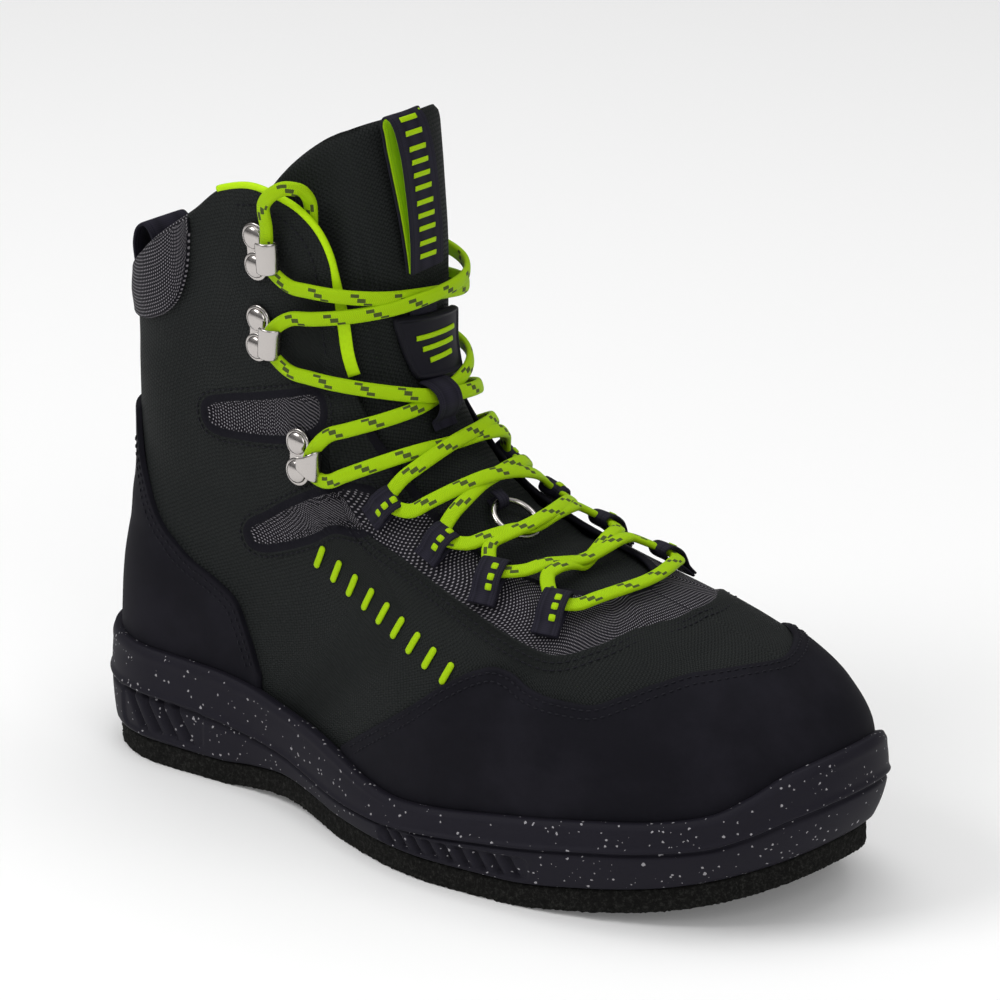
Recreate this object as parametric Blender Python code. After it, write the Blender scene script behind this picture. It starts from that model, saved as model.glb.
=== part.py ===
"""A right wading boot: felt outsole, cup midsole, laced leather and cloth upper.

The boot stands on the floor with its toe along +X and the inner side of the foot along +Y.
The origin is on the floor under the heel. Sizes are in millimetres until a mesh is made.
"""

import math

import bmesh
import bpy
import numpy as np
from mathutils import Matrix, Vector

MM = 0.001

# Driving sizes of the boot
SOLE_LENGTH = 326.0
HEEL_BACK = 46.0
BALL_WIDTH = 111.0
HEEL_WIDTH = 69.5
INSTEP_HEIGHT = 102.0
SHAFT_HEIGHT = 227.0
HEEL_HEIGHT = 31.0

# Walls and thicknesses
UPPER_WALL = 2.4
COLLAR_PAD = 2.6
FELT_THICKNESS = 9.0
INSOLE_THICKNESS = 4.0
TONGUE_THICKNESS = 3.6
OVERLAY_THICKNESS = 1.1
RIM_WIDTH = 4.8
BAND_STEP = 0.9

# Gaps between pieces that are sewn or glued together
FIT = 0.3
RECESS_FIT = 0.65
OVERLAY_FIT = 0.7
COUNTER_FIT = 1.05
TONGUE_FIT = 1.1
TONGUE_SLACK = 4.5
RIM_GAP = 1.0

# Lace and its hardware
LACE_WIDTH = 5.2
LACE_THICKNESS = 3.0
STRAP_THICKNESS = 1.1
LOOP_WIDTH = 10.0
HOOK_BAND_HEIGHT = 11.5
HOOK_REACH = 7.0
HOOK_THICKNESS = 1.1
RIVET_SPACING = 10.6
RIVET_RADIUS = 4.2
RING_RADIUS = 8.6
RING_WIRE = 1.1
PULL_LOOP_WIDTH = 17.0
HEEL_LOOP_WIDTH = 22.0
PIPING_RADIUS = 1.3
WEBBING_WIDTH = 12.0
BADGE_WIDTH = 28.0
KEEPER_WIDTH = 12.0
RING_HEIGHT = 1.130
RING_LIFT = 3.2
RING_TILT = 0.07
TAB_LENGTH = 3.6
TAB_WIDTH = 5.0

# Points around half of a section, and the resolution of the overlays
HALF = 28
UPPER_HALF = 32
RIVET_SIDES = 6


def columns(names, rows):
    """A table with named columns, as one array for each name."""
    return dict(zip(names.split(), np.array(rows, float).T))


def curve(xs, ys, x):
    """Monotone cubic through the points (xs, ys), read at x."""
    xs = np.asarray(xs, float)
    ys = np.asarray(ys, float)
    width = np.diff(xs)
    slope = np.diff(ys) / width
    tangent = np.zeros_like(ys)
    heavy = 2 * width[1:] + width[:-1]
    light = width[1:] + 2 * width[:-1]
    rising = slope[1:] * slope[:-1] > 0
    safe_before = np.where(rising, slope[:-1], 1.0)
    safe_after = np.where(rising, slope[1:], 1.0)
    tangent[1:-1] = np.where(
        rising, (heavy + light) / (heavy / safe_before + light / safe_after), 0.0)
    tangent[0] = slope[0]
    tangent[-1] = slope[-1]
    x = np.clip(x, xs[0], xs[-1])
    k = np.clip(np.searchsorted(xs, x) - 1, 0, len(width) - 1)
    t = (x - xs[k]) / width[k]
    return (ys[k] * (1 + 2 * t) * (1 - t) ** 2 + ys[k + 1] * t * t * (3 - 2 * t)
            + width[k] * (tangent[k] * t * (1 - t) ** 2 + tangent[k + 1] * t * t * (t - 1)))


def smooth(t):
    t = np.clip(t, 0.0, 1.0)
    return t * t * (3 - 2 * t)


def rise(share):
    """Height for a share: 0 to 1 climbs the foot to the instep, 1 to 2 the shaft to its peak."""
    share = np.asarray(share, float)
    above = np.clip(share - 1, 0, None)
    return np.minimum(share, 1) * INSTEP_HEIGHT + above * (SHAFT_HEIGHT - INSTEP_HEIGHT)


# The last, one row for each level: height as a share for rise(), the back and front ends and
# the two end runs as shares of SOLE_LENGTH, half widths as shares of HEEL_WIDTH or BALL_WIDTH.
LAST = columns("height back front heel_out heel_in ball_out ball_in toe_run heel_run", (
    (0.176, -0.114, 0.822, 0.475, 0.460, 0.514, 0.450, 0.282, 0.104),
    (0.392, -0.121, 0.834, 0.511, 0.489, 0.532, 0.468, 0.282, 0.110),
    (0.569, -0.118, 0.828, 0.511, 0.489, 0.523, 0.468, 0.282, 0.110),
    (0.706, -0.114, 0.804, 0.504, 0.482, 0.486, 0.441, 0.282, 0.110),
    (0.804, -0.109, 0.764, 0.489, 0.475, 0.450, 0.414, 0.282, 0.110),
    (0.863, -0.106, 0.724, 0.475, 0.460, 0.423, 0.392, 0.276, 0.110),
    (0.912, -0.104, 0.675, 0.475, 0.453, 0.396, 0.378, 0.264, 0.110),
    (0.961, -0.103, 0.620, 0.468, 0.446, 0.378, 0.365, 0.252, 0.110),
    (1.016, -0.100, 0.552, 0.460, 0.446, 0.360, 0.351, 0.233, 0.110),
    (1.064, -0.098, 0.485, 0.460, 0.446, 0.347, 0.342, 0.215, 0.110),
    (1.144, -0.097, 0.417, 0.460, 0.446, 0.333, 0.329, 0.196, 0.110),
    (1.264, -0.095, 0.362, 0.468, 0.453, 0.324, 0.320, 0.178, 0.110),
    (1.384, -0.094, 0.328, 0.475, 0.460, 0.320, 0.315, 0.166, 0.110),
    (1.584, -0.092, 0.307, 0.489, 0.475, 0.324, 0.320, 0.153, 0.113),
    (1.784, -0.092, 0.307, 0.504, 0.489, 0.333, 0.329, 0.153, 0.113),
    (2.024, -0.095, 0.301, 0.518, 0.504, 0.342, 0.338, 0.153, 0.113),
    (2.280, -0.101, 0.291, 0.532, 0.518, 0.351, 0.347, 0.153, 0.113),
))
LEVELS = rise(LAST["height"])

# The sole along its length: x as a share of SOLE_LENGTH, heights as shares of HEEL_HEIGHT,
# bulge of the side wall and height of its parting groove as shares of the wall.
SOLE = columns("along floor bed rim bulge groove", (
    (-0.141, 0.000, 1.000, 1.468, 0.045, 0.50),
    (-0.046, 0.000, 0.985, 1.452, 0.045, 0.48),
    (0.077, 0.000, 0.945, 1.420, 0.045, 0.46),
    (0.129, 0.052, 0.915, 1.360, 0.045, 0.40),
    (0.184, 0.094, 0.871, 1.260, 0.045, 0.34),
    (0.245, 0.045, 0.810, 1.174, 0.050, 0.30),
    (0.291, 0.000, 0.765, 1.065, 0.055, 0.32),
    (0.344, 0.000, 0.720, 0.919, 0.060, 0.40),
    (0.387, 0.000, 0.690, 0.865, 0.065, 0.46),
    (0.451, 0.000, 0.668, 0.919, 0.065, 0.52),
    (0.537, 0.000, 0.668, 1.045, 0.065, 0.56),
    (0.629, 0.081, 0.715, 1.180, 0.070, 0.58),
    (0.706, 0.185, 0.810, 1.280, 0.085, 0.58),
    (0.755, 0.300, 0.910, 1.403, 0.100, 0.56),
    (0.785, 0.400, 0.990, 1.613, 0.110, 0.54),
    (0.810, 0.500, 1.060, 1.855, 0.115, 0.52),
    (0.834, 0.613, 1.120, 1.980, 0.120, 0.52),
    (0.859, 0.690, 1.161, 2.030, 0.120, 0.52),
))

# Plan of the felt: ends and runs as shares of SOLE_LENGTH, half widths as above
FELT_PLAN = dict(back=-0.129, front=0.823, toe_run=0.300, heel_run=0.117, heel_out=0.554,
                 heel_in=0.540, ball_out=0.560, ball_in=0.500, waist_out=0.030, waist_in=0.090)
WAIST_AT = 0.17
WAIST_SPREAD = 0.105

# The last swings inwards ahead of the ball
SWING = 0.108
SWING_FROM = 0.337
HEEL_ENDS = 0.107
BALL_STARTS = 0.460
TOE_BLUNT = 0.85
HEEL_BLUNT = 0.9

# Edge of throat and collar, and the fold of the outer cloth beside it. around goes from the
# front (0) to the back (1) along the sole, turn is where the edge has moved to at its height.
EDGE = columns("around height turn fold_height fold_turn", (
    (0.000, 1.000, 0.000, 0.946, 0.000),
    (0.120, 1.002, 0.055, 0.934, 0.130),
    (0.220, 1.008, 0.105, 0.893, 0.235),
    (0.310, 1.020, 0.150, 0.858, 0.308),
    (0.400, 1.048, 0.175, 0.895, 0.343),
    (0.480, 1.100, 0.190, 0.965, 0.358),
    (0.540, 1.160, 0.200, 1.032, 0.372),
    (0.585, 1.240, 0.215, 1.080, 0.395),
    (0.620, 1.344, 0.235, 1.200, 0.385),
    (0.645, 1.464, 0.255, 1.360, 0.335),
    (0.670, 1.640, 0.270, 1.600, 0.302),
    (0.690, 1.808, 0.280, 1.790, 0.305),
    (0.710, 1.912, 0.310, 1.880, 0.330),
    (0.740, 1.976, 0.370, 1.938, 0.382),
    (0.775, 2.000, 0.450, 1.960, 0.453),
    (0.810, 1.976, 0.530, 1.938, 0.528),
    (0.850, 1.888, 0.620, 1.850, 0.617),
    (0.890, 1.792, 0.720, 1.752, 0.717),
    (0.930, 1.696, 0.820, 1.656, 0.820),
    (0.970, 1.616, 0.920, 1.576, 0.920),
    (1.000, 1.592, 1.000, 1.552, 1.000),
))
BAND_ENDS = 0.62

# The tongue, from under the vamp to its free top. Heights are shares for rise().
TONGUE = columns("along centre out_height out_turn in_height in_turn", (
    (0.00, 0.931, 0.925, 0.120, 0.925, 0.120),
    (0.10, 0.961, 0.946, 0.200, 0.946, 0.200),
    (0.20, 1.000, 0.975, 0.235, 0.975, 0.235),
    (0.30, 1.048, 1.024, 0.252, 1.024, 0.252),
    (0.40, 1.128, 1.104, 0.268, 1.104, 0.268),
    (0.50, 1.248, 1.224, 0.288, 1.224, 0.288),
    (0.60, 1.408, 1.376, 0.312, 1.376, 0.312),
    (0.70, 1.608, 1.560, 0.338, 1.560, 0.338),
    (0.80, 1.824, 1.752, 0.364, 1.740, 0.364),
    (0.90, 2.024, 1.888, 0.405, 1.830, 0.400),
    (1.00, 2.190, 1.992, 0.450, 1.880, 0.430),
))
TONGUE_MIDDLE = -0.03

# Edges of the overlays, as turn against height
TOE_CAP_EDGE = columns("turn height", (
    (0.000, 0.838),
    (0.072, 0.846),
    (0.139, 0.842),
    (0.213, 0.810),
    (0.260, 0.770),
    (0.299, 0.738),
    (0.332, 0.742),
    (0.354, 0.758),
    (0.368, 0.792),
    (0.384, 0.800),
    (0.410, 0.778),
    (0.448, 0.720),
    (0.492, 0.618),
    (0.546, 0.484),
    (0.600, 0.345),
))
COUNTER_EDGE = columns("turn height", (
    (0.722, 0.440),
    (0.740, 0.600),
    (0.753, 0.705),
    (0.777, 0.760),
    (0.816, 0.818),
    (0.838, 0.885),
    (0.850, 0.980),
    (0.862, 1.100),
    (0.872, 1.230),
    (1.000, 1.240),
))
COLLAR_PANEL_EDGE = columns("turn low high", (
    (0.640, 1.700, 1.790),
    (0.672, 1.615, 1.740),
    (0.720, 1.560, 1.680),
    (0.800, 1.525, 1.610),
    (0.900, 1.515, 1.545),
    (1.000, 1.512, 1.535),
))

# Mesh windows, centre line and half height, from the rear end forwards
UPPER_WINDOW = columns("turn height reach", (
    (0.640, 1.292, 0.034),
    (0.560, 1.322, 0.046),
    (0.460, 1.352, 0.049),
    (0.352, 1.388, 0.050),
))
LOWER_WINDOW = columns("turn height reach", (
    (0.690, 0.948, 0.030),
    (0.620, 1.008, 0.038),
    (0.540, 1.056, 0.044),
    (0.455, 1.120, 0.050),
    (0.400, 1.130, 0.054),
))
WINDOW_DEPTH = 1.2

# Lace loops from the ankle to the toe: where each strap folds, and where it is sewn down
LOOPS = columns("height turn sewn_height sewn_turn", (
    (1.176, 0.272, 1.104, 0.370),
    (1.100, 0.225, 1.030, 0.345),
    (1.040, 0.213, 0.940, 0.342),
    (0.985, 0.195, 0.885, 0.303),
))
LOOP_CLEAR = 0.35
LOOP_SEAT = 0.45
MOUTH_GAP = 0.5
# Where the lace leaves a loop, by its end: share of the strap's span from the fold, and offset
LOOP_MOUTHS = {1: (-0.32, 3.2), -1: (0.06, -7.7)}
CROSS_RISE = 2.5
# Crossings of the lace from the toe upwards: height and lift of the lower strand
CROSSINGS = columns("height lift", (
    (1.042, -1.2),
    (1.100, 2.3),
    (1.212, 2.6),
    (1.316, -0.9),
    (1.424, -0.9),
    (1.724, -0.9),
))

# Hooks from the top down: height, turn and tilt in degrees
HOOKS = columns("height turn tilt", (
    (1.832, 0.425, 0.0),
    (1.585, 0.430, -6.0),
    (1.245, 0.418, -35.0),
))

# Outline of the pull loop on the tongue: height as a share for rise(), lift off the tongue
PULL_LOOP_OUTSIDE = ((1.784, 0.5), (1.96, 0.5), (2.12, 0.5), (2.20, 1.5), (2.256, 3.5),
                     (2.268, 6.5), (2.24, 9.0), (2.168, 9.5), (2.032, 7.6), (1.90, 4.8),
                     (1.784, 3.2))
PULL_LOOP_INSIDE = ((1.88, 2.1), (1.98, 2.0), (2.12, 2.0), (2.19, 3.0), (2.235, 4.6),
                    (2.245, 6.4), (2.228, 7.6), (2.168, 8.0), (2.032, 6.1), (1.95, 4.2),
                    (1.90, 3.2))
# The keeper's arch over the crossing, likewise
KEEPER_ARCH = ((1.350, 0.5), (1.370, 0.8), (1.383, 4.6), (1.404, 7.4), (1.424, 8.0),
               (1.444, 7.4), (1.466, 4.6), (1.478, 1.0))
# Path of the heel loop over the back of the collar: ahead of its outer face and above its edge
HEEL_LOOP_PATH = ((-2.7, -9.0), (-3.1, -2.0), (-4.6, 6.0), (-5.0, 12.0), (-3.2, 17.5),
                  (0.4, 19.8), (4.2, 17.0), (6.6, 9.0), (6.8, 0.0), (6.7, -7.0))
# Route of a lace end from the top hook over the collar: height, turn and lift off the last
LACE_END = ((1.965, 0.405, 4.0), (2.012, 0.385, 4.9), (2.040, 0.350, 3.4),
            (2.030, 0.328, -0.2), (1.985, 0.322, -4.2), (1.935, 0.325, -4.5),
            (1.880, 0.330, -4.5))


def last(height, turn):
    """Outer face of the upper. turn runs from -1, the back, over 0, the front, to 1, the back;
    below 0 it is on the outer side of the foot."""
    height, turn = np.broadcast_arrays(np.asarray(height, float), np.asarray(turn, float))
    level = {name: curve(LEVELS, values, height) for name, values in LAST.items()}
    outer = turn < 0
    heel = np.where(outer, level["heel_out"], level["heel_in"]) * HEEL_WIDTH
    ball = np.where(outer, level["ball_out"], level["ball_in"]) * BALL_WIDTH
    x, y = plan(turn, level["back"], level["front"], level["toe_run"], level["heel_run"],
                heel, ball)
    return np.stack([x, y, height], -1)


def plan(turn, back, front, toe_run, heel_run, heel, ball, waist=0.0):
    """Outline of one level: a round toe, a straight side and a round heel."""
    back = back * SOLE_LENGTH
    front = front * SOLE_LENGTH
    toe_run = toe_run * SOLE_LENGTH
    heel_run = heel_run * SOLE_LENGTH
    side = np.where(turn < 0, -1.0, 1.0)
    straight = front - toe_run - back - heel_run
    total = (toe_run + heel_run) * math.pi / 2 + straight
    walked = np.abs(turn) * total
    toe_angle = np.clip(walked / toe_run, 0, math.pi / 2)
    heel_angle = np.clip((total - walked) / heel_run, 0, math.pi / 2)
    x = (front - toe_run * (1 - np.cos(toe_angle))
         - np.clip(walked - toe_run * math.pi / 2, 0, straight)
         - heel_run * np.cos(heel_angle))
    fullness = np.sin(toe_angle) ** TOE_BLUNT * np.sin(heel_angle) ** HEEL_BLUNT
    share = x / SOLE_LENGTH
    mix = smooth((share - HEEL_ENDS) / (BALL_STARTS - HEEL_ENDS))
    width = heel * (1 - mix) + ball * mix
    width = width - waist * np.exp(-((share - WAIST_AT) / WAIST_SPREAD) ** 2)
    toe_share = 1 - HEEL_BACK / SOLE_LENGTH
    middle = SWING * BALL_WIDTH * smooth((share - SWING_FROM) / (toe_share - SWING_FROM))
    return x, middle + side * width * fullness


def last_normal(height, turn):
    """Outward unit normal of the last."""
    around = last(height, np.asarray(turn) + 1e-4) - last(height, np.asarray(turn) - 1e-4)
    upward = last(np.asarray(height) + 0.05, turn) - last(np.asarray(height) - 0.05, turn)
    normal = np.cross(around, upward)
    return normal / np.maximum(np.linalg.norm(normal, axis=-1, keepdims=True), 1e-12)


def level_normal(height, turn):
    """The last's normal laid level."""
    normal = last_normal(height, turn).copy()
    normal[..., 2] = 0
    return normal / np.maximum(np.linalg.norm(normal, axis=-1, keepdims=True), 1e-12)


def on_last(height, turn, lift=0.0):
    """A point lifted off the last along its normal."""
    lift = np.asarray(lift, float)[..., None]
    return last(height, turn) + last_normal(height, turn) * lift


def sole_height(name, x):
    return curve(SOLE["along"], SOLE[name], np.asarray(x) / SOLE_LENGTH) * HEEL_HEIGHT


def sole_share(name, x):
    return curve(SOLE["along"], SOLE[name], np.asarray(x) / SOLE_LENGTH)


def level_on_last(name, turn):
    """Height at which the last meets the sole's bed or rim."""
    height = np.full(np.shape(turn), HEEL_HEIGHT)
    for _ in range(14):
        height = sole_height(name, last(height, turn)[..., 0])
    return height


def felt_outline(turn, grow=0.0):
    """Plan of the felt, grown outwards."""
    plan_of = FELT_PLAN
    outer = turn < 0
    heel = np.where(outer, plan_of["heel_out"], plan_of["heel_in"]) * HEEL_WIDTH + grow
    ball = np.where(outer, plan_of["ball_out"], plan_of["ball_in"]) * BALL_WIDTH + grow
    waist = np.where(outer, plan_of["waist_out"], plan_of["waist_in"]) * HEEL_WIDTH
    x, y = plan(turn, plan_of["back"] - grow / SOLE_LENGTH, plan_of["front"] + grow / SOLE_LENGTH,
                plan_of["toe_run"], plan_of["heel_run"], heel, ball, waist)
    return x, y


def side_wall(up, turn, lift=0.0):
    """Side of the midsole, from its lower edge (up 0) to its rim (up 1)."""
    up, turn = np.broadcast_arrays(np.asarray(up, float), np.asarray(turn, float))
    x, y = felt_outline(turn, 1.5)
    low = np.stack([x, y, sole_height("floor", x) + FELT_THICKNESS + FIT], -1)
    rim = level_on_last("rim", turn)
    high = last(rim, turn) + level_normal(rim, turn) * RIM_WIDTH
    out = level_normal(rim, turn)
    bulge = sole_share("bulge", high[..., 0]) * HEEL_HEIGHT * np.sin(math.pi * up) ** 0.8
    return low * (1 - up[..., None]) + high * up[..., None] + out * (bulge + lift)[..., None]


def wall_at(height, turn):
    """Thickness of the upper: padded around the back of the collar."""
    height = np.asarray(height, float)
    rear = smooth((np.abs(turn) - 0.45) / 0.2)
    top = smooth((height - rise(1.45)) / (rise(1.70) - rise(1.45)))
    return UPPER_WALL + COLLAR_PAD * rear * top


def both_sides(share):
    """Turns down the outer side to the back and up the inner side again."""
    return np.concatenate([share[:-1] * -1.0, [-1.0], share[-2:0:-1]])


def around_turns():
    """Turns around one whole section, closer together at the toe and heel."""
    t = np.linspace(0, 1, HALF + 1)
    return both_sides(t - 0.06 * np.sin(2 * math.pi * t))


def upper_turns():
    """Turns around the upper's foot, closer together where its edge climbs the ankle's bend."""
    t = np.linspace(0, 1, UPPER_HALF + 1)
    return both_sides(np.interp(t, (0.0, 0.36, 0.70, 1.0), (0.0, 0.50, 0.74, 1.0)))


def paint(name, color, roughness, metallic=0.0):
    material = bpy.data.materials.new(name)
    material.use_nodes = True
    shader = material.node_tree.nodes["Principled BSDF"]
    shader.inputs["Base Color"].default_value = (*color, 1.0)
    shader.inputs["Roughness"].default_value = roughness
    shader.inputs["Metallic"].default_value = metallic
    material.diffuse_color = (*color, 1.0)
    return material


def new_object(name, points, faces, finish=None):
    """Makes a closed mesh object from points in millimetres."""
    mesh = bpy.data.meshes.new(name)
    mesh.from_pydata([tuple(float(c) * MM for c in p) for p in points], [], faces)
    work = bmesh.new()
    work.from_mesh(mesh)
    bmesh.ops.remove_doubles(work, verts=work.verts, dist=1e-7)
    bmesh.ops.dissolve_degenerate(work, edges=work.edges, dist=1e-7)
    bmesh.ops.triangulate(work, faces=work.faces)
    bmesh.ops.recalc_face_normals(work, faces=work.faces)
    work.to_mesh(mesh)
    work.free()
    made = bpy.data.objects.new(name, mesh)
    bpy.context.scene.collection.objects.link(made)
    if finish:
        mesh.materials.append(paint(name + "_finish", *finish))
    return made


def loft(name, loops, finish=None, joined=False):
    """Skins closed loops of equal count. Ends are capped across the boot unless joined."""
    count = len(loops[0])
    points = np.concatenate(loops)
    faces = []
    pairs = len(loops) if joined else len(loops) - 1
    for k in range(pairs):
        here = k * count
        there = ((k + 1) % len(loops)) * count
        for i in range(count):
            j = (i + 1) % count
            faces.append((here + i, here + j, there + j, there + i))
    if not joined:
        for base in (0, (len(loops) - 1) * count):
            for i in range(count // 2):
                ring = [base + i, base + i + 1, base + (count - i - 1) % count,
                        base + (count - i) % count]
                faces.append(tuple(dict.fromkeys(ring)))
    return new_object(name, points, faces, finish)


def slab(name, below, above, finish=None):
    """Closes two open grids of equal shape into one solid."""
    rows, cols = below.shape[:2]
    points = np.concatenate([below.reshape(-1, 3), above.reshape(-1, 3)])
    top = rows * cols
    faces = []
    for i in range(rows - 1):
        for j in range(cols - 1):
            a = i * cols + j
            quad = (a, a + 1, a + cols + 1, a + cols)
            faces.append(quad)
            faces.append(tuple(top + k for k in reversed(quad)))
    border = ([j for j in range(cols)] + [i * cols + cols - 1 for i in range(1, rows)]
              + [(rows - 1) * cols + j for j in range(cols - 2, -1, -1)]
              + [i * cols for i in range(rows - 2, 0, -1)])
    for here, there in zip(border, border[1:] + border[:1]):
        faces.append((here, there, top + there, top + here))
    return new_object(name, points, faces, finish)


def tube(name, path, ups, width, thickness, sides=6, finish=None, closed=False):
    """Sweeps a flat oval along a path, its flat face turned to the ups."""
    path = np.asarray(path, float)
    ups = np.asarray(ups, float)
    count = len(path)
    loops = []
    for i in range(count):
        before = path[(i - 1) % count] if closed or i > 0 else path[i]
        after = path[(i + 1) % count] if closed or i < count - 1 else path[i]
        along = after - before
        along /= np.linalg.norm(along)
        across = np.cross(along, ups[i])
        across /= np.linalg.norm(across)
        up = np.cross(across, along)
        angles = (np.arange(sides) + 0.5) * 2 * math.pi / sides
        loops.append(path[i] + np.outer(np.cos(angles), across) * width / 2
                     + np.outer(np.sin(angles), up) * thickness / 2)
    points = np.concatenate(loops)
    faces = []
    for k in range(count if closed else count - 1):
        here = k * sides
        there = ((k + 1) % count) * sides
        for i in range(sides):
            j = (i + 1) % sides
            faces.append((here + i, here + j, there + j, there + i))
    if not closed:
        faces.append(tuple(range(sides)))
        faces.append(tuple((count - 1) * sides + i for i in range(sides)))
    return new_object(name, points, faces, finish)


def combine(target, others, operation):
    """Adds or cuts the others, applies the result and removes them."""
    for other in others:
        change = target.modifiers.new(operation.lower(), "BOOLEAN")
        change.operation = operation
        change.object = other
        change.solver = "EXACT"
    bpy.context.view_layer.update()
    graph = bpy.context.evaluated_depsgraph_get()
    result = bpy.data.meshes.new_from_object(target.evaluated_get(graph))
    old = target.data
    target.modifiers.clear()
    target.data = result
    bpy.data.meshes.remove(old)
    result.name = target.name
    for other in others:
        bpy.data.objects.remove(other, do_unlink=True)
    return target


def join_cutters(name, pieces):
    """Puts cutters that don't touch each other into one mesh."""
    work = bmesh.new()
    for piece in pieces:
        work.from_mesh(piece.data)
    mesh = bpy.data.meshes.new(name)
    work.to_mesh(mesh)
    work.free()
    for piece in pieces:
        bpy.data.objects.remove(piece, do_unlink=True)
    made = bpy.data.objects.new(name, mesh)
    bpy.context.scene.collection.objects.link(made)
    return made


# Finishes: colour, roughness, metallic
RUBBER = ((0.036, 0.034, 0.046), 0.75)
FELT = ((0.022, 0.022, 0.020), 0.95)
CLOTH = ((0.024, 0.027, 0.027), 0.85)
NUBUCK = ((0.014, 0.014, 0.022), 0.8)
MESH_CLOTH = ((0.05, 0.05, 0.055), 0.9)
LIME = ((0.40, 0.62, 0.02), 0.7)
WEBBING = ((0.02, 0.02, 0.032), 0.85)
STEEL = ((0.62, 0.60, 0.58), 0.3, 1.0)


def make_felt():
    turns = around_turns()
    inner_x, inner_y = felt_outline(turns, -1.2)
    x, y = felt_outline(turns)
    low = sole_height("floor", x)
    loops = [np.stack([inner_x, inner_y, sole_height("floor", inner_x)], -1),
             np.stack([x, y, low + 1.2], -1),
             np.stack([x, y, low + FELT_THICKNESS], -1)]
    return loft("felt_outsole", loops, FELT)


def rib_cutters():
    """Slanted slots in the side walls: eight under the ball, four at the heel."""
    cutters = []
    for side in (-1, 1):
        for count, start, end, low, high, lean in ((8, 0.555, 0.420, 0.10, 0.40, 0.010),
                                                   (4, 0.935, 0.860, 0.14, 0.42, -0.020)):
            for k in range(count):
                turn = start + (end - start) * k / (count - 1)
                ups = np.array([[low, low], [high, high]])
                turns = side * np.array([[turn - 0.0032, turn + 0.0032]] * 2)
                turns[1] += side * lean
                cutters.append(slab("slot", side_wall(ups, turns, np.full((2, 2), -1.1)),
                                    side_wall(ups, turns, np.full((2, 2), 3.0))))
    return join_cutters("slots", cutters)


def make_midsole():
    """Cup sole: its side wall has a parting groove, its recess follows the upper."""
    turns = around_turns()
    x, y = felt_outline(turns, 0.2)
    loops = [np.stack([x, y, sole_height("floor", x) + FELT_THICKNESS + FIT], -1)]
    groove = sole_share("groove", side_wall(0.5, turns)[:, 0])
    for up, lift in ((0.03, 0.0), (groove * 0.5, 0.0), (groove - 0.035, 0.0), (groove, -1.2),
                     (groove + 0.035, 0.7), (0.93, 0.2)):
        loops.append(side_wall(up, turns, np.full(len(turns), lift)))
    rim = level_on_last("rim", turns)
    bed = level_on_last("bed", turns)
    lip = last(rim, turns) + level_normal(rim, turns) * (RIM_WIDTH - 1.4)
    lip[:, 2] += 0.2
    loops.append(lip)
    for share in (1.0, 0.0):
        height = bed + (rim - bed) * share
        loops.append(last(height, turns) + level_normal(height, turns) * RECESS_FIT)
    midsole = loft("midsole", loops, RUBBER)
    return combine(midsole, [rib_cutters()], "DIFFERENCE")


def edge_at(name, around):
    return curve(EDGE["around"], EDGE[name], around)


def upper_rows():
    """Height, turn and lift of the upper's rows, from the foot bed to its top edge."""
    around = upper_turns()
    share = np.abs(around)
    side = np.where(around < 0, -1.0, 1.0)
    bed = level_on_last("bed", around) + FIT
    rim = level_on_last("rim", around)
    fold = rise(edge_at("fold_height", share))
    fold_turn = edge_at("fold_turn", share) * side
    top = rise(edge_at("height", share))
    top_turn = edge_at("turn", share) * side
    step_depth = -BAND_STEP * (1 - smooth((share - BAND_ENDS) / 0.03))
    rows = []
    for t in (0.0, 1.0):
        rows.append((bed + (rim - bed) * t, around, 0 * share))
    for t in (0.2, 0.38, 0.56, 0.73, 0.88, 1.0):
        rows.append((rim + (fold - rim) * t, around + (fold_turn - around) * t, 0 * share))
    for t in (0.06, 0.55, 1.0):
        rows.append((fold + (top - fold) * t, fold_turn + (top_turn - fold_turn) * t, step_depth))
    return rows


def window_cutters():
    cutters = []
    for side in (-1, 1):
        for table in (UPPER_WINDOW, LOWER_WINDOW):
            steps = np.linspace(0, 1, 9)
            turn = np.interp(steps, np.linspace(0, 1, len(table["turn"])), table["turn"])
            middle = curve(-table["turn"], table["height"], -turn)
            reach = curve(-table["turn"], table["reach"], -turn)
            reach = reach * np.where(steps == 0, 0.45, np.where(steps < 0.15, 0.9, 1.0))
            across = np.array([-1.0, 0.0, 1.0])
            heights = rise(middle[:, None] + reach[:, None] * across)
            turns = side * np.repeat(turn[:, None], 3, 1)
            lift = np.full(turns.shape, 1.0)
            cutters.append(slab("window", on_last(heights, turns, -WINDOW_DEPTH * lift),
                                on_last(heights, turns, 2.0 * lift)))
    return join_cutters("windows", cutters)


def make_upper():
    """Hollow wall, open at throat and collar and underneath, where the sole closes it."""
    outside = []
    inside = []
    for k, (height, turn, lift) in enumerate(upper_rows()):
        normal = level_normal(height, turn) if k < 2 else last_normal(height, turn)
        face = last(height, turn) + normal * np.asarray(lift)[:, None]
        wall = wall_at(height, turn) + np.asarray(lift)
        outside.append(face)
        inside.append(face - normal * wall[:, None])
    upper = loft("upper", outside + inside[::-1], CLOTH, joined=True)
    return combine(upper, [window_cutters()], "DIFFERENCE")


def make_insole():
    turns = around_turns()
    bed = level_on_last("bed", turns)
    loops = []
    for up, inset in ((FIT, 1.2), (INSOLE_THICKNESS, 1.2), (INSOLE_THICKNESS + 2.2, 1.4),
                      (INSOLE_THICKNESS + 1.4, 3.4), (INSOLE_THICKNESS, 9.0)):
        height = bed + up
        loops.append(last(height, turns)
                     - level_normal(height, turns) * (UPPER_WALL + inset))
    return loft("insole", loops, MESH_CLOTH)


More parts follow.
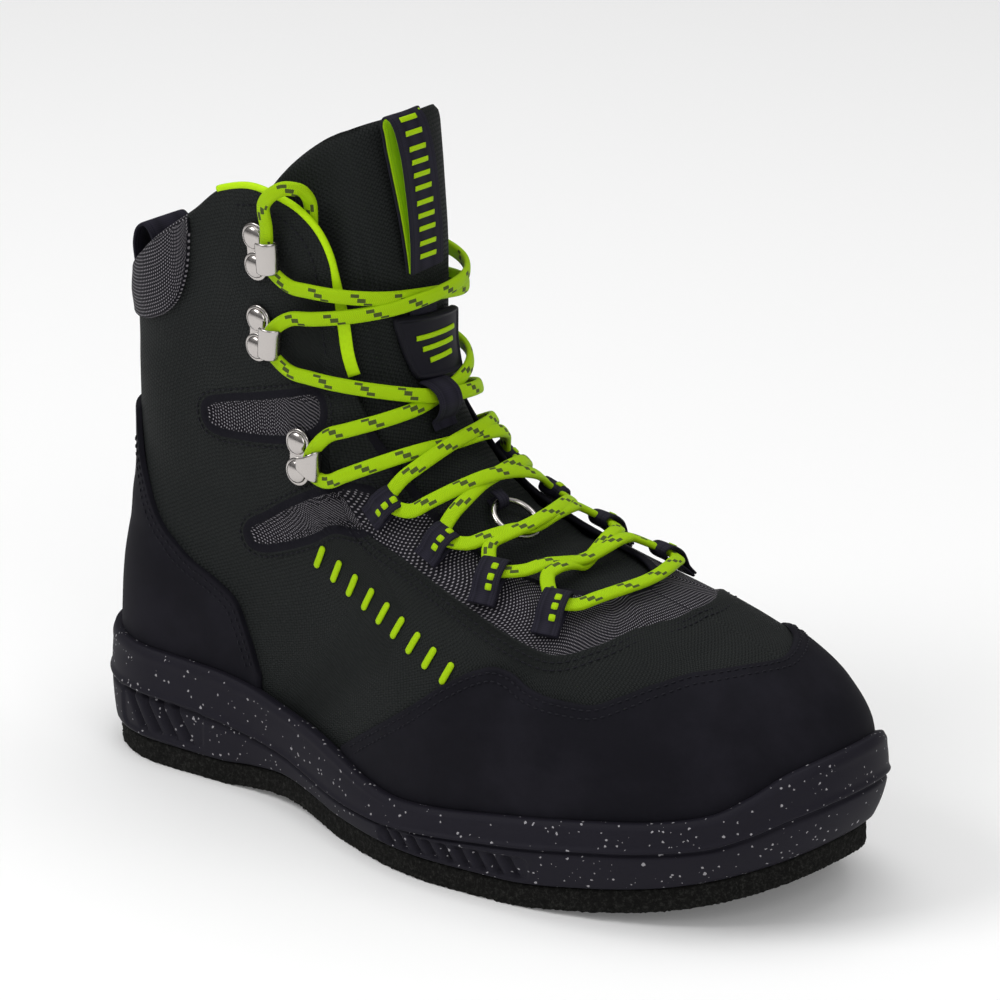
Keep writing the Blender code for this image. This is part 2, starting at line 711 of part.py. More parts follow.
def tongue_point(along, across, depth):
    """A point of the tongue: along from its toe end to its top, across from -1 to 1."""
    side_names = ("out_height", "out_turn") if across < 0 else ("in_height", "in_turn")
    centre = curve(TONGUE["along"], TONGUE["centre"], along)
    edge = curve(TONGUE["along"], TONGUE[side_names[0]], along)
    reach = curve(TONGUE["along"], TONGUE[side_names[1]], along)
    share = abs(across)
    height = rise(centre + (edge - centre) * share ** 1.5)
    turn = across * reach
    free = (smooth((height - rise(1.72)) / (rise(1.90) - rise(1.72)))
            * smooth((np.abs(turn) - 0.20) / 0.10))
    sink = wall_at(height, turn) + TONGUE_FIT + depth + TONGUE_SLACK * free
    return on_last(height, turn, -sink)


def make_tongue():
    steps = np.linspace(0, 1, 15)
    across = np.linspace(-1, 1, 11)
    outer = np.array([[tongue_point(s, a, 0.0) for a in across] for s in steps])
    inner = np.array([[tongue_point(s, a, TONGUE_THICKNESS) for a in across] for s in steps])
    return slab("tongue", inner, outer, CLOTH)


def overlay(name, turns, low, high, finish, rows=6, start=OVERLAY_FIT, power=1.0):
    """A piece laid on the upper between two edges given as heights for each turn."""
    t = np.linspace(0, 1, rows)[:, None] ** power
    heights = low[None, :] * (1 - t) + high[None, :] * t
    spread = np.repeat(turns[None, :], rows, 0)
    lift = np.full(spread.shape, start)
    return slab(name, on_last(heights, spread, lift),
                on_last(heights, spread, lift + OVERLAY_THICKNESS), finish)


def make_toe_cap():
    edge = TOE_CAP_EDGE
    half = np.linspace(0, 0.592, 16)
    turns = np.concatenate([-half[::-1], half[1:]])
    low = level_on_last("rim", turns) + RIM_GAP
    high = rise(curve(edge["turn"], edge["height"], np.abs(turns)))
    return overlay("toe_cap", turns, low, np.maximum(high, low + 1.5), NUBUCK, rows=6, power=0.75)


def make_heel_counter():
    """Wraps the heel and climbs the back seam as a narrow strip."""
    edge = COUNTER_EDGE
    half = np.concatenate([np.linspace(0.728, 0.86, 7), np.linspace(0.872, 1.0, 5)])
    turns = np.concatenate([half, (2 - half)[-2::-1]])
    turns = np.where(turns > 1, turns - 2, turns)
    low = level_on_last("rim", turns) + RIM_GAP
    high = rise(curve(edge["turn"], edge["height"], np.abs(turns)))
    return overlay("heel_counter", turns, low, high, NUBUCK, rows=7, start=COUNTER_FIT)


def make_collar_panel():
    edge = COLLAR_PANEL_EDGE
    half = np.linspace(0.642, 1.0, 12)
    turns = np.concatenate([half, (2 - half)[-2::-1]])
    turns = np.where(turns > 1, turns - 2, turns)
    low = rise(curve(edge["turn"], edge["low"], np.abs(turns)))
    high = rise(curve(edge["turn"], edge["high"], np.abs(turns)))
    return overlay("collar_panel", turns, low, high, MESH_CLOTH, rows=4)


def loop_lines(index, side):
    """Fold and sewn end of a lace loop as (height share, turn), and the direction of its
    tunnel towards the ankle."""
    fold = np.array([LOOPS["height"][index], side * LOOPS["turn"][index]])
    sewn = np.array([LOOPS["sewn_height"][index], side * LOOPS["sewn_turn"][index]])
    centre = (fold + sewn) / 2
    span = on_last(rise(sewn[0]), sewn[1]) - on_last(rise(fold[0]), fold[1])
    sideways = np.cross(last_normal(rise(centre[0]), centre[1]), span / np.linalg.norm(span))
    return fold, sewn, sideways * -np.sign(sideways[0])


def make_lace_loop(name, index, side):
    """A strap folded over the lace at the throat and sewn down beside it."""
    fold, sewn, sideways = loop_lines(index, side)
    start = last(rise(fold[0]), fold[1])
    span = last(rise(sewn[0]), sewn[1]) - start
    tunnel = LACE_THICKNESS / 2 + LOOP_CLEAR
    outside = ((0.80, 0.0), (0.80, 2 * STRAP_THICKNESS), (0.62, 2.4 * STRAP_THICKNESS),
               (0.30, 2 * tunnel + 2 * STRAP_THICKNESS - 0.3),
               (0.02, 2 * tunnel + 2 * STRAP_THICKNESS),
               (-0.22, tunnel + STRAP_THICKNESS), (-0.08, 0.0))
    inside = ((0.44, STRAP_THICKNESS + 0.1), (0.50, STRAP_THICKNESS + 0.5),
              (0.44, STRAP_THICKNESS + 1.4), (0.28, 2 * tunnel + STRAP_THICKNESS - 0.5),
              (0.02, 2 * tunnel + STRAP_THICKNESS), (-0.12, tunnel + STRAP_THICKNESS),
              (-0.02, STRAP_THICKNESS))
    loops = []
    for outline in (outside, inside):
        for offset in (-0.5, 0.5) if outline is outside else (0.5, -0.5):
            ring = []
            for share, lift in outline:
                place = settle(start + span * share + sideways * offset * LOOP_WIDTH,
                               (rise(fold[0]), fold[1]))
                ring.append(on_last(place[0], place[1], lift + LOOP_SEAT))
            loops.append(np.array(ring))
    return loft(name, loops, WEBBING, joined=True)


def hook_frame(index, side):
    """Place of a hook: local X points to the throat, Y up the shaft and Z out of it."""
    height = rise(HOOKS["height"][index])
    turn = side * HOOKS["turn"][index]
    out = last_normal(height, turn)
    up = last(height + 1, turn) - last(height - 1, turn)
    up -= out * np.dot(up, out)
    up /= np.linalg.norm(up)
    ahead = np.cross(up, out) * -side
    tilt = math.radians(HOOKS["tilt"][index])
    x_axis = ahead * math.cos(tilt) + up * math.sin(tilt)
    y_axis = up * math.cos(tilt) - ahead * math.sin(tilt)
    origin = on_last(height, turn, 0.9)
    return origin, x_axis, y_axis, out


def in_frame(frame, points):
    origin, x_axis, y_axis, out = frame
    points = np.asarray(points, float)
    return origin + points @ np.stack([x_axis, y_axis, out])


def loop_mouth(index, side, end):
    """Where the lace leaves a loop's tunnel, as height and turn: end 1 towards the ankle."""
    fold, sewn, sideways = loop_lines(index, side)
    share, out = LOOP_MOUTHS[end]
    where = fold + (sewn - fold) * share
    start = np.array([rise(where[0]), where[1]])
    return settle(last(*start) + sideways * out, start)


def hook_mouth(index, side, end):
    """Where the lace leaves a hook, as height and turn: end 1 at its upper side."""
    across = end * (HOOK_BAND_HEIGHT / 2 + LACE_WIDTH / 2 + MOUTH_GAP)
    point = in_frame(hook_frame(index, side), (4.0, across, 0.0))
    return settle(point, (rise(HOOKS["height"][index]), side * HOOKS["turn"][index]))


def settle(point, guess):
    """Place on the last, as height and turn, that is nearest to a point."""
    places = np.array([guess], float)
    for _ in range(6):
        places = places + slide(places, point - last(places[:, 0], places[:, 1]))
    return places[0]


def slide(places, moves):
    """Steps in height and turn that follow moves in space along the last."""
    probe = (0.05, 1e-4)
    height = places[:, 0]
    turn = places[:, 1]
    here = last(height, turn)
    up = (last(height + probe[0], turn) - here) / probe[0]
    around = (last(height, turn + probe[1]) - here) / probe[1]
    uu = (up * up).sum(1)
    aa = (around * around).sum(1)
    ua = (up * around).sum(1)
    um = (up * moves).sum(1)
    am = (around * moves).sum(1)
    det = np.maximum(uu * aa - ua * ua, 1e-9)
    return np.stack([(um * aa - am * ua) / det, (am * uu - um * ua) / det], -1)


def make_hook(name, index, side, claw=False):
    """Base plate with two domed rivets and a band that curls back over them."""
    frame = hook_frame(index, side)
    half = RIVET_SPACING / 2
    angles = np.linspace(0, 2 * math.pi, RIVET_SIDES, endpoint=False)
    parts = []
    for sign in (-1, 1):
        rings = [np.stack([-4 + (RIVET_RADIUS + 0.9) * np.cos(angles),
                           sign * half + (RIVET_RADIUS + 0.9) * np.sin(angles),
                           np.full(RIVET_SIDES, z)], -1)
                 for z in (0.0, HOOK_THICKNESS)]
        for radius, z in ((RIVET_RADIUS, HOOK_THICKNESS), (RIVET_RADIUS * 0.75, 2.8)):
            rings.append(np.stack([-4 + radius * np.cos(angles),
                                   sign * half + radius * np.sin(angles),
                                   np.full(RIVET_SIDES, z)], -1))
        parts.append(loft("rivet", [in_frame(frame, ring) for ring in rings]))
    reach = HOOK_REACH
    width = HOOK_BAND_HEIGHT / 2
    profile = ((-5.0, 0.15, 3.2), (3.5, 0.15, 3.2), (5.6, 0.6, 3.0), (6.6, 2.4, 3.4),
               (6.4, 4.6, width), (4.6, reach - 0.6, width), (1.6, reach, width),
               (-1.2, reach - 0.9, width * (0.45 if claw else 0.9)))
    centre = np.array([(p[0], p[1]) for p in profile])
    tangent = np.gradient(centre, axis=0)
    tangent /= np.linalg.norm(tangent, axis=1, keepdims=True)
    across = np.stack([-tangent[:, 1], tangent[:, 0]], -1)
    low = []
    high = []
    for k, (x, z, half_width) in enumerate(profile):
        for face, shift in ((low, 0.0), (high, HOOK_THICKNESS)):
            px = x + across[k, 0] * shift
            pz = z + across[k, 1] * shift
            face.append(in_frame(frame, [(px, y, pz) for y in (-half_width, half_width)]))
    band = slab("band", np.array(low), np.array(high))
    hook = parts[0]
    combine(hook, [parts[1], band], "UNION")
    hook.name = name
    hook.data.name = name
    hook.data.materials.clear()
    hook.data.materials.append(paint(name + "_finish", *STEEL))
    return hook


def taut(start, end, steps):
    """Places of a taut run over the front of the last, from start to end."""
    t = np.linspace(0, 1, steps)[:, None]
    places = start * (1 - t) + end * t
    for _ in range(40):
        points = last(places[:, 0], places[:, 1])
        pull = (points[:-2] + points[2:]) / 2 - points[1:-1]
        places[1:-1] += slide(places[1:-1], pull) * 0.8
    return places


def strand(name, start, end, lifts, middle=None):
    """A taut lace run between two places, held down where it crosses, and lifted off the
    last by lifts at even shares of its way."""
    if middle is None:
        places = taut(start, end, 9)
    else:
        places = np.concatenate([taut(start, middle, 6), taut(middle, end, 6)[1:]])
        for _ in range(2):
            places[1:-1] = (places[:-2] + 2 * places[1:-1] + places[2:]) / 4
    height = places[:, 0]
    turn = places[:, 1]
    lift = curve(np.linspace(0, 1, len(lifts)), lifts, np.linspace(0, 1, len(places)))
    return tube(name, on_last(height, turn, lift), last_normal(height, turn),
                LACE_WIDTH, LACE_THICKNESS)


def join_strands(name, index, below, ahead):
    """Two strands from a pair of places to the pair above it, crossed and joined."""
    seat = LOOP_SEAT + STRAP_THICKNESS + LOOP_CLEAR + LACE_THICKNESS / 2
    middle = np.array([rise(CROSSINGS["height"][index]), TONGUE_MIDDLE])
    low = CROSSINGS["lift"][index]
    high = low + CROSS_RISE
    under = strand(name, below(-1), ahead(1),
                   (seat, 3.9, 2.7 + low * 0.5, low, 2.7 + low * 0.5, 3.9, seat), middle)
    over = strand("over", below(1), ahead(-1),
                  (seat, 4.0, 3.2 + low * 0.5, high, 3.2 + low * 0.5, 4.0, seat), middle)
    combine(under, [over], "UNION")
    under.data.materials.clear()
    under.data.materials.append(paint(name + "_finish", *LIME))


def tongue_top(height, turn, lift):
    """A point above the outer face of the tongue."""
    return on_last(height, turn, lift - UPPER_WALL - TONGUE_FIT)


def tongue_strip(name, heights, halves, low, high, finish, middle=None):
    """A flat piece laid along the middle of the tongue, halves wide on either side."""
    middle = TONGUE_MIDDLE if middle is None else middle
    below = []
    above = []
    for height, half in zip(heights, halves):
        centre = last(height, middle)
        places = [settle(centre + np.array([0, half * share, 0]), (height, middle))
                  for share in (-1.0, -0.5, 0.0, 0.5, 1.0)]
        below.append([tongue_top(height, place[1], low) for place in places])
        above.append([tongue_top(height, place[1], high) for place in places])
    return slab(name, np.array(below), np.array(above), finish)


def make_tongue_trim():
    """Webbing down the tongue, the badge, the keeper of the laces and the pull loop."""
    heights = rise(np.linspace(1.50, 1.672, 5))
    tongue_strip("tongue_webbing", heights, np.full(5, WEBBING_WIDTH / 2), 1.0, 1.6, WEBBING)
    shares = np.linspace(0, 1, 6)
    halves = np.array([0.62, 0.72, 0.80, 0.88, 0.96, 0.90]) * BADGE_WIDTH / 2
    tongue_strip("tongue_badge", rise(1.522 + 0.135 * shares), halves, 2.1, 3.2, RUBBER)
    outer = np.array(KEEPER_ARCH)
    along = np.gradient(np.stack([rise(outer[:, 0]), outer[:, 1]], -1), axis=0)
    along /= np.linalg.norm(along, axis=1, keepdims=True)
    grids = []
    for shift in (1.0, 1.0 + STRAP_THICKNESS):
        rows = []
        for (share, lift), (dh, dl) in zip(outer, along):
            height = rise(share) - dl * (shift - 1.0)
            rows.append([tongue_top(height, TONGUE_MIDDLE, lift + shift + dh * (shift - 1.0))
                         + np.array([0, y, 0]) for y in (-KEEPER_WIDTH / 2, 0, KEEPER_WIDTH / 2)])
        grids.append(np.array(rows))
    slab("tongue_keeper", grids[0], grids[1], WEBBING)
    loops = []
    for outline, order in ((PULL_LOOP_OUTSIDE, (-0.5, 0.5)), (PULL_LOOP_INSIDE, (0.5, -0.5))):
        for offset in order:
            loops.append(np.array([tongue_top(rise(share), TONGUE_MIDDLE, lift + 0.6)
                                   + np.array([0, offset * PULL_LOOP_WIDTH, 0])
                                   for share, lift in outline]))
    loft("tongue_loop", loops, WEBBING, joined=True)


def make_ring():
    """A split ring in a webbing tab, lying on the tongue between two crossings."""
    height = rise(RING_HEIGHT)
    centre = tongue_top(height, TONGUE_MIDDLE, RING_LIFT)
    out = last_normal(height, TONGUE_MIDDLE)
    side = np.array([0.0, 1.0, 0.0])
    down = np.cross(side, out)
    down = down / np.linalg.norm(down) - out * RING_TILT
    down /= np.linalg.norm(down)
    angles = np.linspace(0, 2 * math.pi, 20, endpoint=False)
    path = centre + np.outer(np.cos(angles), down) * RING_RADIUS \
        + np.outer(np.sin(angles), side) * RING_RADIUS
    tube("lace_ring", path, np.repeat(out[None, :], 20, 0), 2 * RING_WIRE, 2 * RING_WIRE,
         sides=6, finish=STEEL, closed=True)
    hold = centre - down * RING_RADIUS
    gap = RING_WIRE + 0.9
    outline = []
    for radius in (gap + 0.8, gap):
        outline.append([(radius * math.cos(a), radius * math.sin(a))
                        for a in np.linspace(-math.pi / 2, math.pi / 2, 5)])
    outside = outline[0] + [(-TAB_LENGTH, gap + 0.2), (-TAB_LENGTH, -gap - 0.3)]
    inside = outline[1] + [(-gap - 0.6, gap - 0.4), (-gap - 0.6, -gap + 0.4)]
    loops = []
    for shape, order in ((outside, (-0.5, 0.5)), (inside, (0.5, -0.5))):
        for offset in order:
            loops.append(np.array([hold + down * x + out * z + side * offset * TAB_WIDTH
                                   for x, z in shape]))
    loft("ring_tab", loops, WEBBING, joined=True)


def make_heel_loop():
    """A strap over the back of the collar, open between its two legs."""
    edge = last(rise(EDGE["height"][-1]), 1.0)
    path = np.array(HEEL_LOOP_PATH)
    along = np.gradient(path, axis=0)
    along /= np.linalg.norm(along, axis=1, keepdims=True)
    grids = []
    for shift in (0.0, 1.3):
        rows = []
        for (ahead, up), (da, du) in zip(path, along):
            point = edge + np.array([ahead - du * shift, 0, up + da * shift])
            rows.append([point + np.array([0, y * HEEL_LOOP_WIDTH, 0]) for y in (-0.5, 0.0, 0.5)])
        grids.append(np.array(rows))
    slab("heel_loop", grids[0], grids[1], WEBBING)


def make_piping(name, side):
    """Bright cord along the front edge of the collar and the eyestay."""
    around = np.linspace(0.670, 0.815, 17)
    height = rise(edge_at("height", around))
    turn = edge_at("turn", around) * side
    fold = last(rise(edge_at("fold_height", around)), edge_at("fold_turn", around) * side)
    normal = last_normal(height, turn)
    edge = last(height, turn) - normal * UPPER_WALL / 2
    tangent = np.gradient(edge, axis=0)
    away = np.cross(tangent, normal)
    away /= np.linalg.norm(away, axis=1, keepdims=True)
    sign = np.sign(((edge - fold) * away).sum(1))[:, None]
    path = edge + away * sign * (PIPING_RADIUS + 2 * OVERLAY_FIT)
    tube(name, path, normal, 2 * PIPING_RADIUS, 2 * PIPING_RADIUS, sides=6, finish=LIME)


def make_lace_end(name, side):
    """From the top hook over the collar's edge, then down between collar and tongue."""
    mouth = hook_mouth(0, side, 1)
    route = [(mouth[0] - 1.0, mouth[1], 3.6)]
    route += [(float(rise(share)), side * turn, lift) for share, turn, lift in LACE_END]
    knots = np.array(route)
    t = np.linspace(0, len(knots) - 1, 17)
    height, turn, lift = (curve(np.arange(len(knots)), knots[:, k], t) for k in range(3))
    tube(name, on_last(height, turn, lift), last_normal(height, turn),
         LACE_WIDTH, LACE_THICKNESS, finish=LIME)


def make_lace_runs():
    """The bar at the toe end, then each crossing as one joined solid."""
    seat = LOOP_SEAT + STRAP_THICKNESS + LOOP_CLEAR + LACE_THICKNESS / 2
    bar = strand("lace_bar", loop_mouth(3, -1, -1), loop_mouth(3, 1, -1),
                 (seat, seat, seat, seat, seat))
    bar.data.materials.append(paint("lace_bar_finish", *LIME))
    stations = [(loop_mouth, 3), (loop_mouth, 2), (loop_mouth, 1), (loop_mouth, 0),
                (hook_mouth, 2), (hook_mouth, 1), (hook_mouth, 0)]
    for number, (here, there) in enumerate(zip(stations, stations[1:]), 1):
        join_strands("lace_cross_%d" % number, number - 1,
                     lambda side, at=here: at[0](at[1], side, 1),
                     lambda side, at=there: at[0](at[1], side, -1))


def main():
    for old in list(bpy.data.objects):
        bpy.data.objects.remove(old, do_unlink=True)
    make_felt()
    make_midsole()
    make_insole()
    make_upper()
    make_tongue()
    make_toe_cap()
    make_heel_counter()
    make_collar_panel()
    for side, label in ((-1, "outer"), (1, "inner")):
        for index in range(4):
            make_lace_loop("lace_loop_%s_%d" % (label, index + 1), index, side)
        for index, kind in enumerate(("top_hook", "middle_hook", "locking_hook")):
            make_hook("%s_%s" % (kind, label), index, side, claw=index == 2)
    make_lace_runs()
    make_tongue_trim()
    make_ring()
    make_heel_loop()
    for side, label in ((-1, "outer"), (1, "inner")):
        make_piping("piping_" + label, side)
        make_lace_end("lace_end_" + label, side)
    boot = bpy.data.objects.new("boot", None)
    bpy.context.scene.collection.objects.link(boot)
    for piece in bpy.data.objects:
        if piece.type == "MESH":
            piece.parent = boot


main()
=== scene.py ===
"""Looks of a right wading boot, modelled around its solids.

The boot stands with its toe along +X and the inner side of the foot along +Y. Shapes are worked
out in millimetres from the same last as the solids, and meshes are made in metres.
"""

import math

import bmesh
import bpy
import numpy as np
from mathutils import Matrix, Vector


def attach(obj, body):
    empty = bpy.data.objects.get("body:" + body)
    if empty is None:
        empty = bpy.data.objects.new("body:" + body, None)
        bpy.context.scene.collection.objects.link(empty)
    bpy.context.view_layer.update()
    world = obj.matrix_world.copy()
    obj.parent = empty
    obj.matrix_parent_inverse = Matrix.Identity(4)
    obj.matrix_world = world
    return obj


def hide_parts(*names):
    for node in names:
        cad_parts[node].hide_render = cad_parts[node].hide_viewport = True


MM = 0.001

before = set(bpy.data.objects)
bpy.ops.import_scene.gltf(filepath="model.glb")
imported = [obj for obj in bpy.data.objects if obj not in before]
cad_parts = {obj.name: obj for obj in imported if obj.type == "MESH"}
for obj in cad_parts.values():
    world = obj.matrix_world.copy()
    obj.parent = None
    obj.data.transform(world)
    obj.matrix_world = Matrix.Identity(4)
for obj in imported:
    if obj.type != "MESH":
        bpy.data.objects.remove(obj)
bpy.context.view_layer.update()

# Driving sizes of the boot
SOLE_LENGTH = 326.0
HEEL_BACK = 46.0
BALL_WIDTH = 111.0
HEEL_WIDTH = 69.5
INSTEP_HEIGHT = 102.0
SHAFT_HEIGHT = 227.0
HEEL_HEIGHT = 31.0

# Walls and thicknesses
UPPER_WALL = 2.4
COLLAR_PAD = 2.6
# Where the collar's padding begins: turn and run round it, low and high end up the shaft
PAD_TURN = 0.45
PAD_RUN = 0.20
PAD_LOW = 1.45
PAD_HIGH = 1.70
FELT_THICKNESS = 9.0
SOLE_OVERHANG = 1.5
TONGUE_THICKNESS = 3.6
OVERLAY_THICKNESS = 1.1
RIM_WIDTH = 4.8
BAND_STEP = 0.9
# How far toe cap and counter reach down behind the midsole's rim
UNDER_RIM = 2.0

# Sides of the foot in turns, with their names
SIDES = ((-1, "outer"), (1, "inner"))
ACROSS = np.array([0.0, 1.0, 0.0])

# Gaps between pieces that are sewn or glued together
FIT = 0.3
OVERLAY_FIT = 0.7
COUNTER_FIT = 1.05
TONGUE_FIT = 1.1
TONGUE_SLACK = 4.5

# Lace and its hardware
LACE_WIDTH = 5.2
LACE_THICKNESS = 3.0
LACE_SQUASH = 0.86
STRAP_THICKNESS = 1.1
LOOP_WIDTH = 10.0
HOOK_BAND_HEIGHT = 11.5
HOOK_THICKNESS = 1.1
RIVET_SPACING = 10.6
RIVET_RADIUS = 4.2
RING_RADIUS = 8.6
RING_WIRE = 1.1
PULL_LOOP_WIDTH = 17.0
HEEL_LOOP_WIDTH = 22.0
PIPING_RADIUS = 1.3
KEEPER_WIDTH = 12.0
RING_HEIGHT = 1.130
RING_LIFT = 3.2
RING_TILT = 0.07
TAB_LENGTH = 3.6
TAB_WIDTH = 5.0


def columns(names, rows):
    """A table with named columns, as one array for each name."""
    return dict(zip(names.split(), np.array(rows, float).T))


def curve(xs, ys, x):
    """Monotone cubic through the points (xs, ys), read at x."""
    xs = np.asarray(xs, float)
    ys = np.asarray(ys, float)
    width = np.diff(xs)
    slope = np.diff(ys) / width
    tangent = np.zeros_like(ys)
    heavy = 2 * width[1:] + width[:-1]
    light = width[1:] + 2 * width[:-1]
    rising = slope[1:] * slope[:-1] > 0
    safe_before = np.where(rising, slope[:-1], 1.0)
    safe_after = np.where(rising, slope[1:], 1.0)
    tangent[1:-1] = np.where(
        rising, (heavy + light) / (heavy / safe_before + light / safe_after), 0.0)
    tangent[0] = slope[0]
    tangent[-1] = slope[-1]
    x = np.clip(x, xs[0], xs[-1])
    k = np.clip(np.searchsorted(xs, x) - 1, 0, len(width) - 1)
    t = (x - xs[k]) / width[k]
    return (ys[k] * (1 + 2 * t) * (1 - t) ** 2 + ys[k + 1] * t * t * (3 - 2 * t)
            + width[k] * (tangent[k] * t * (1 - t) ** 2 + tangent[k + 1] * t * t * (t - 1)))


def smooth(t):
    t = np.clip(t, 0.0, 1.0)
    return t * t * (3 - 2 * t)


def rise(share):
    """Height for a share: 0 to 1 climbs the foot to the instep, 1 to 2 the shaft to its peak."""
    share = np.asarray(share, float)
    above = np.clip(share - 1, 0, None)
    return np.minimum(share, 1) * INSTEP_HEIGHT + above * (SHAFT_HEIGHT - INSTEP_HEIGHT)


# The last, one row for each level: height as a share for rise(), the back and front ends and
# the two end runs as shares of SOLE_LENGTH, half widths as shares of HEEL_WIDTH or BALL_WIDTH.
LAST = columns("height back front heel_out heel_in ball_out ball_in toe_run heel_run", (
    (0.176, -0.114, 0.822, 0.475, 0.460, 0.514, 0.450, 0.282, 0.104),
    (0.392, -0.121, 0.834, 0.511, 0.489, 0.532, 0.468, 0.282, 0.110),
    (0.569, -0.118, 0.828, 0.511, 0.489, 0.523, 0.468, 0.282, 0.110),
    (0.706, -0.114, 0.804, 0.504, 0.482, 0.486, 0.441, 0.282, 0.110),
    (0.804, -0.109, 0.764, 0.489, 0.475, 0.450, 0.414, 0.282, 0.110),
    (0.863, -0.106, 0.724, 0.475, 0.460, 0.423, 0.392, 0.276, 0.110),
    (0.912, -0.104, 0.675, 0.475, 0.453, 0.396, 0.378, 0.264, 0.110),
    (0.961, -0.103, 0.620, 0.468, 0.446, 0.378, 0.365, 0.252, 0.110),
    (1.016, -0.100, 0.552, 0.460, 0.446, 0.360, 0.351, 0.233, 0.110),
    (1.064, -0.098, 0.485, 0.460, 0.446, 0.347, 0.342, 0.215, 0.110),
    (1.144, -0.097, 0.417, 0.460, 0.446, 0.333, 0.329, 0.196, 0.110),
    (1.264, -0.095, 0.362, 0.468, 0.453, 0.324, 0.320, 0.178, 0.110),
    (1.384, -0.094, 0.328, 0.475, 0.460, 0.320, 0.315, 0.166, 0.110),
    (1.584, -0.092, 0.307, 0.489, 0.475, 0.324, 0.320, 0.153, 0.113),
    (1.784, -0.092, 0.307, 0.504, 0.489, 0.333, 0.329, 0.153, 0.113),
    (2.024, -0.095, 0.301, 0.518, 0.504, 0.342, 0.338, 0.153, 0.113),
    (2.280, -0.101, 0.291, 0.532, 0.518, 0.351, 0.347, 0.153, 0.113),
))
LEVELS = rise(LAST["height"])

# The sole along its length: x as a share of SOLE_LENGTH, heights as shares of HEEL_HEIGHT,
# bulge of the side wall and height of its parting groove as shares of the wall.
SOLE = columns("along floor bed rim bulge groove", (
    (-0.141, 0.000, 1.000, 1.468, 0.045, 0.50),
    (-0.046, 0.000, 0.985, 1.452, 0.045, 0.48),
    (0.077, 0.000, 0.945, 1.420, 0.045, 0.46),
    (0.129, 0.052, 0.915, 1.360, 0.045, 0.40),
    (0.184, 0.094, 0.871, 1.260, 0.045, 0.34),
    (0.245, 0.045, 0.810, 1.174, 0.050, 0.30),
    (0.291, 0.000, 0.765, 1.065, 0.055, 0.32),
    (0.344, 0.000, 0.720, 0.919, 0.060, 0.40),
    (0.387, 0.000, 0.690, 0.865, 0.065, 0.46),
    (0.451, 0.000, 0.668, 0.919, 0.065, 0.52),
    (0.537, 0.000, 0.668, 1.045, 0.065, 0.56),
    (0.629, 0.081, 0.715, 1.180, 0.070, 0.58),
    (0.706, 0.185, 0.810, 1.280, 0.085, 0.58),
    (0.755, 0.300, 0.910, 1.403, 0.100, 0.56),
    (0.785, 0.400, 0.990, 1.613, 0.110, 0.54),
    (0.810, 0.500, 1.060, 1.855, 0.115, 0.52),
    (0.834, 0.613, 1.120, 1.980, 0.120, 0.52),
    (0.859, 0.690, 1.161, 2.030, 0.120, 0.52),
))

# Plan of the felt: ends and runs as shares of SOLE_LENGTH, half widths as above
FELT_PLAN = dict(back=-0.129, front=0.823, toe_run=0.300, heel_run=0.117, heel_out=0.554,
                 heel_in=0.540, ball_out=0.560, ball_in=0.500, waist_out=0.030, waist_in=0.090)
WAIST_AT = 0.17
WAIST_SPREAD = 0.105

# The last swings inwards ahead of the ball
SWING = 0.108
SWING_FROM = 0.337
HEEL_ENDS = 0.107
BALL_STARTS = 0.460
TOE_BLUNT = 0.85
HEEL_BLUNT = 0.9

# Edge of throat and collar, and the fold of the outer cloth beside it. around goes from the
# front (0) to the back (1) along the sole, turn is where the edge has moved to at its height.
EDGE = columns("around height turn fold_height fold_turn", (
    (0.000, 1.000, 0.000, 0.946, 0.000),
    (0.120, 1.002, 0.055, 0.934, 0.130),
    (0.220, 1.008, 0.105, 0.893, 0.235),
    (0.310, 1.020, 0.150, 0.858, 0.308),
    (0.400, 1.048, 0.175, 0.895, 0.343),
    (0.480, 1.100, 0.190, 0.965, 0.358),
    (0.540, 1.160, 0.200, 1.032, 0.372),
    (0.585, 1.240, 0.215, 1.080, 0.395),
    (0.620, 1.344, 0.235, 1.200, 0.385),
    (0.645, 1.464, 0.255, 1.360, 0.335),
    (0.670, 1.640, 0.270, 1.600, 0.302),
    (0.690, 1.808, 0.280, 1.790, 0.305),
    (0.710, 1.912, 0.310, 1.880, 0.330),
    (0.740, 1.976, 0.370, 1.938, 0.382),
    (0.775, 2.000, 0.450, 1.960, 0.453),
    (0.810, 1.976, 0.530, 1.938, 0.528),
    (0.850, 1.888, 0.620, 1.850, 0.617),
    (0.890, 1.792, 0.720, 1.752, 0.717),
    (0.930, 1.696, 0.820, 1.656, 0.820),
    (0.970, 1.616, 0.920, 1.576, 0.920),
    (1.000, 1.592, 1.000, 1.552, 1.000),
))
BAND_ENDS = 0.62

# The tongue, from under the vamp to its free top. Heights are shares for rise().
TONGUE = columns("along centre out_height out_turn in_height in_turn", (
    (0.00, 0.931, 0.925, 0.120, 0.925, 0.120),
    (0.10, 0.961, 0.946, 0.200, 0.946, 0.200),
    (0.20, 1.000, 0.975, 0.235, 0.975, 0.235),
    (0.30, 1.048, 1.024, 0.252, 1.024, 0.252),
    (0.40, 1.128, 1.104, 0.268, 1.104, 0.268),
    (0.50, 1.248, 1.224, 0.288, 1.224, 0.288),
    (0.60, 1.408, 1.376, 0.312, 1.376, 0.312),
    (0.70, 1.608, 1.560, 0.338, 1.560, 0.338),
    (0.80, 1.824, 1.752, 0.364, 1.740, 0.364),
    (0.90, 2.024, 1.888, 0.405, 1.830, 0.400),
    (1.00, 2.235, 1.992, 0.450, 1.880, 0.430),
))
TONGUE_MIDDLE = -0.03

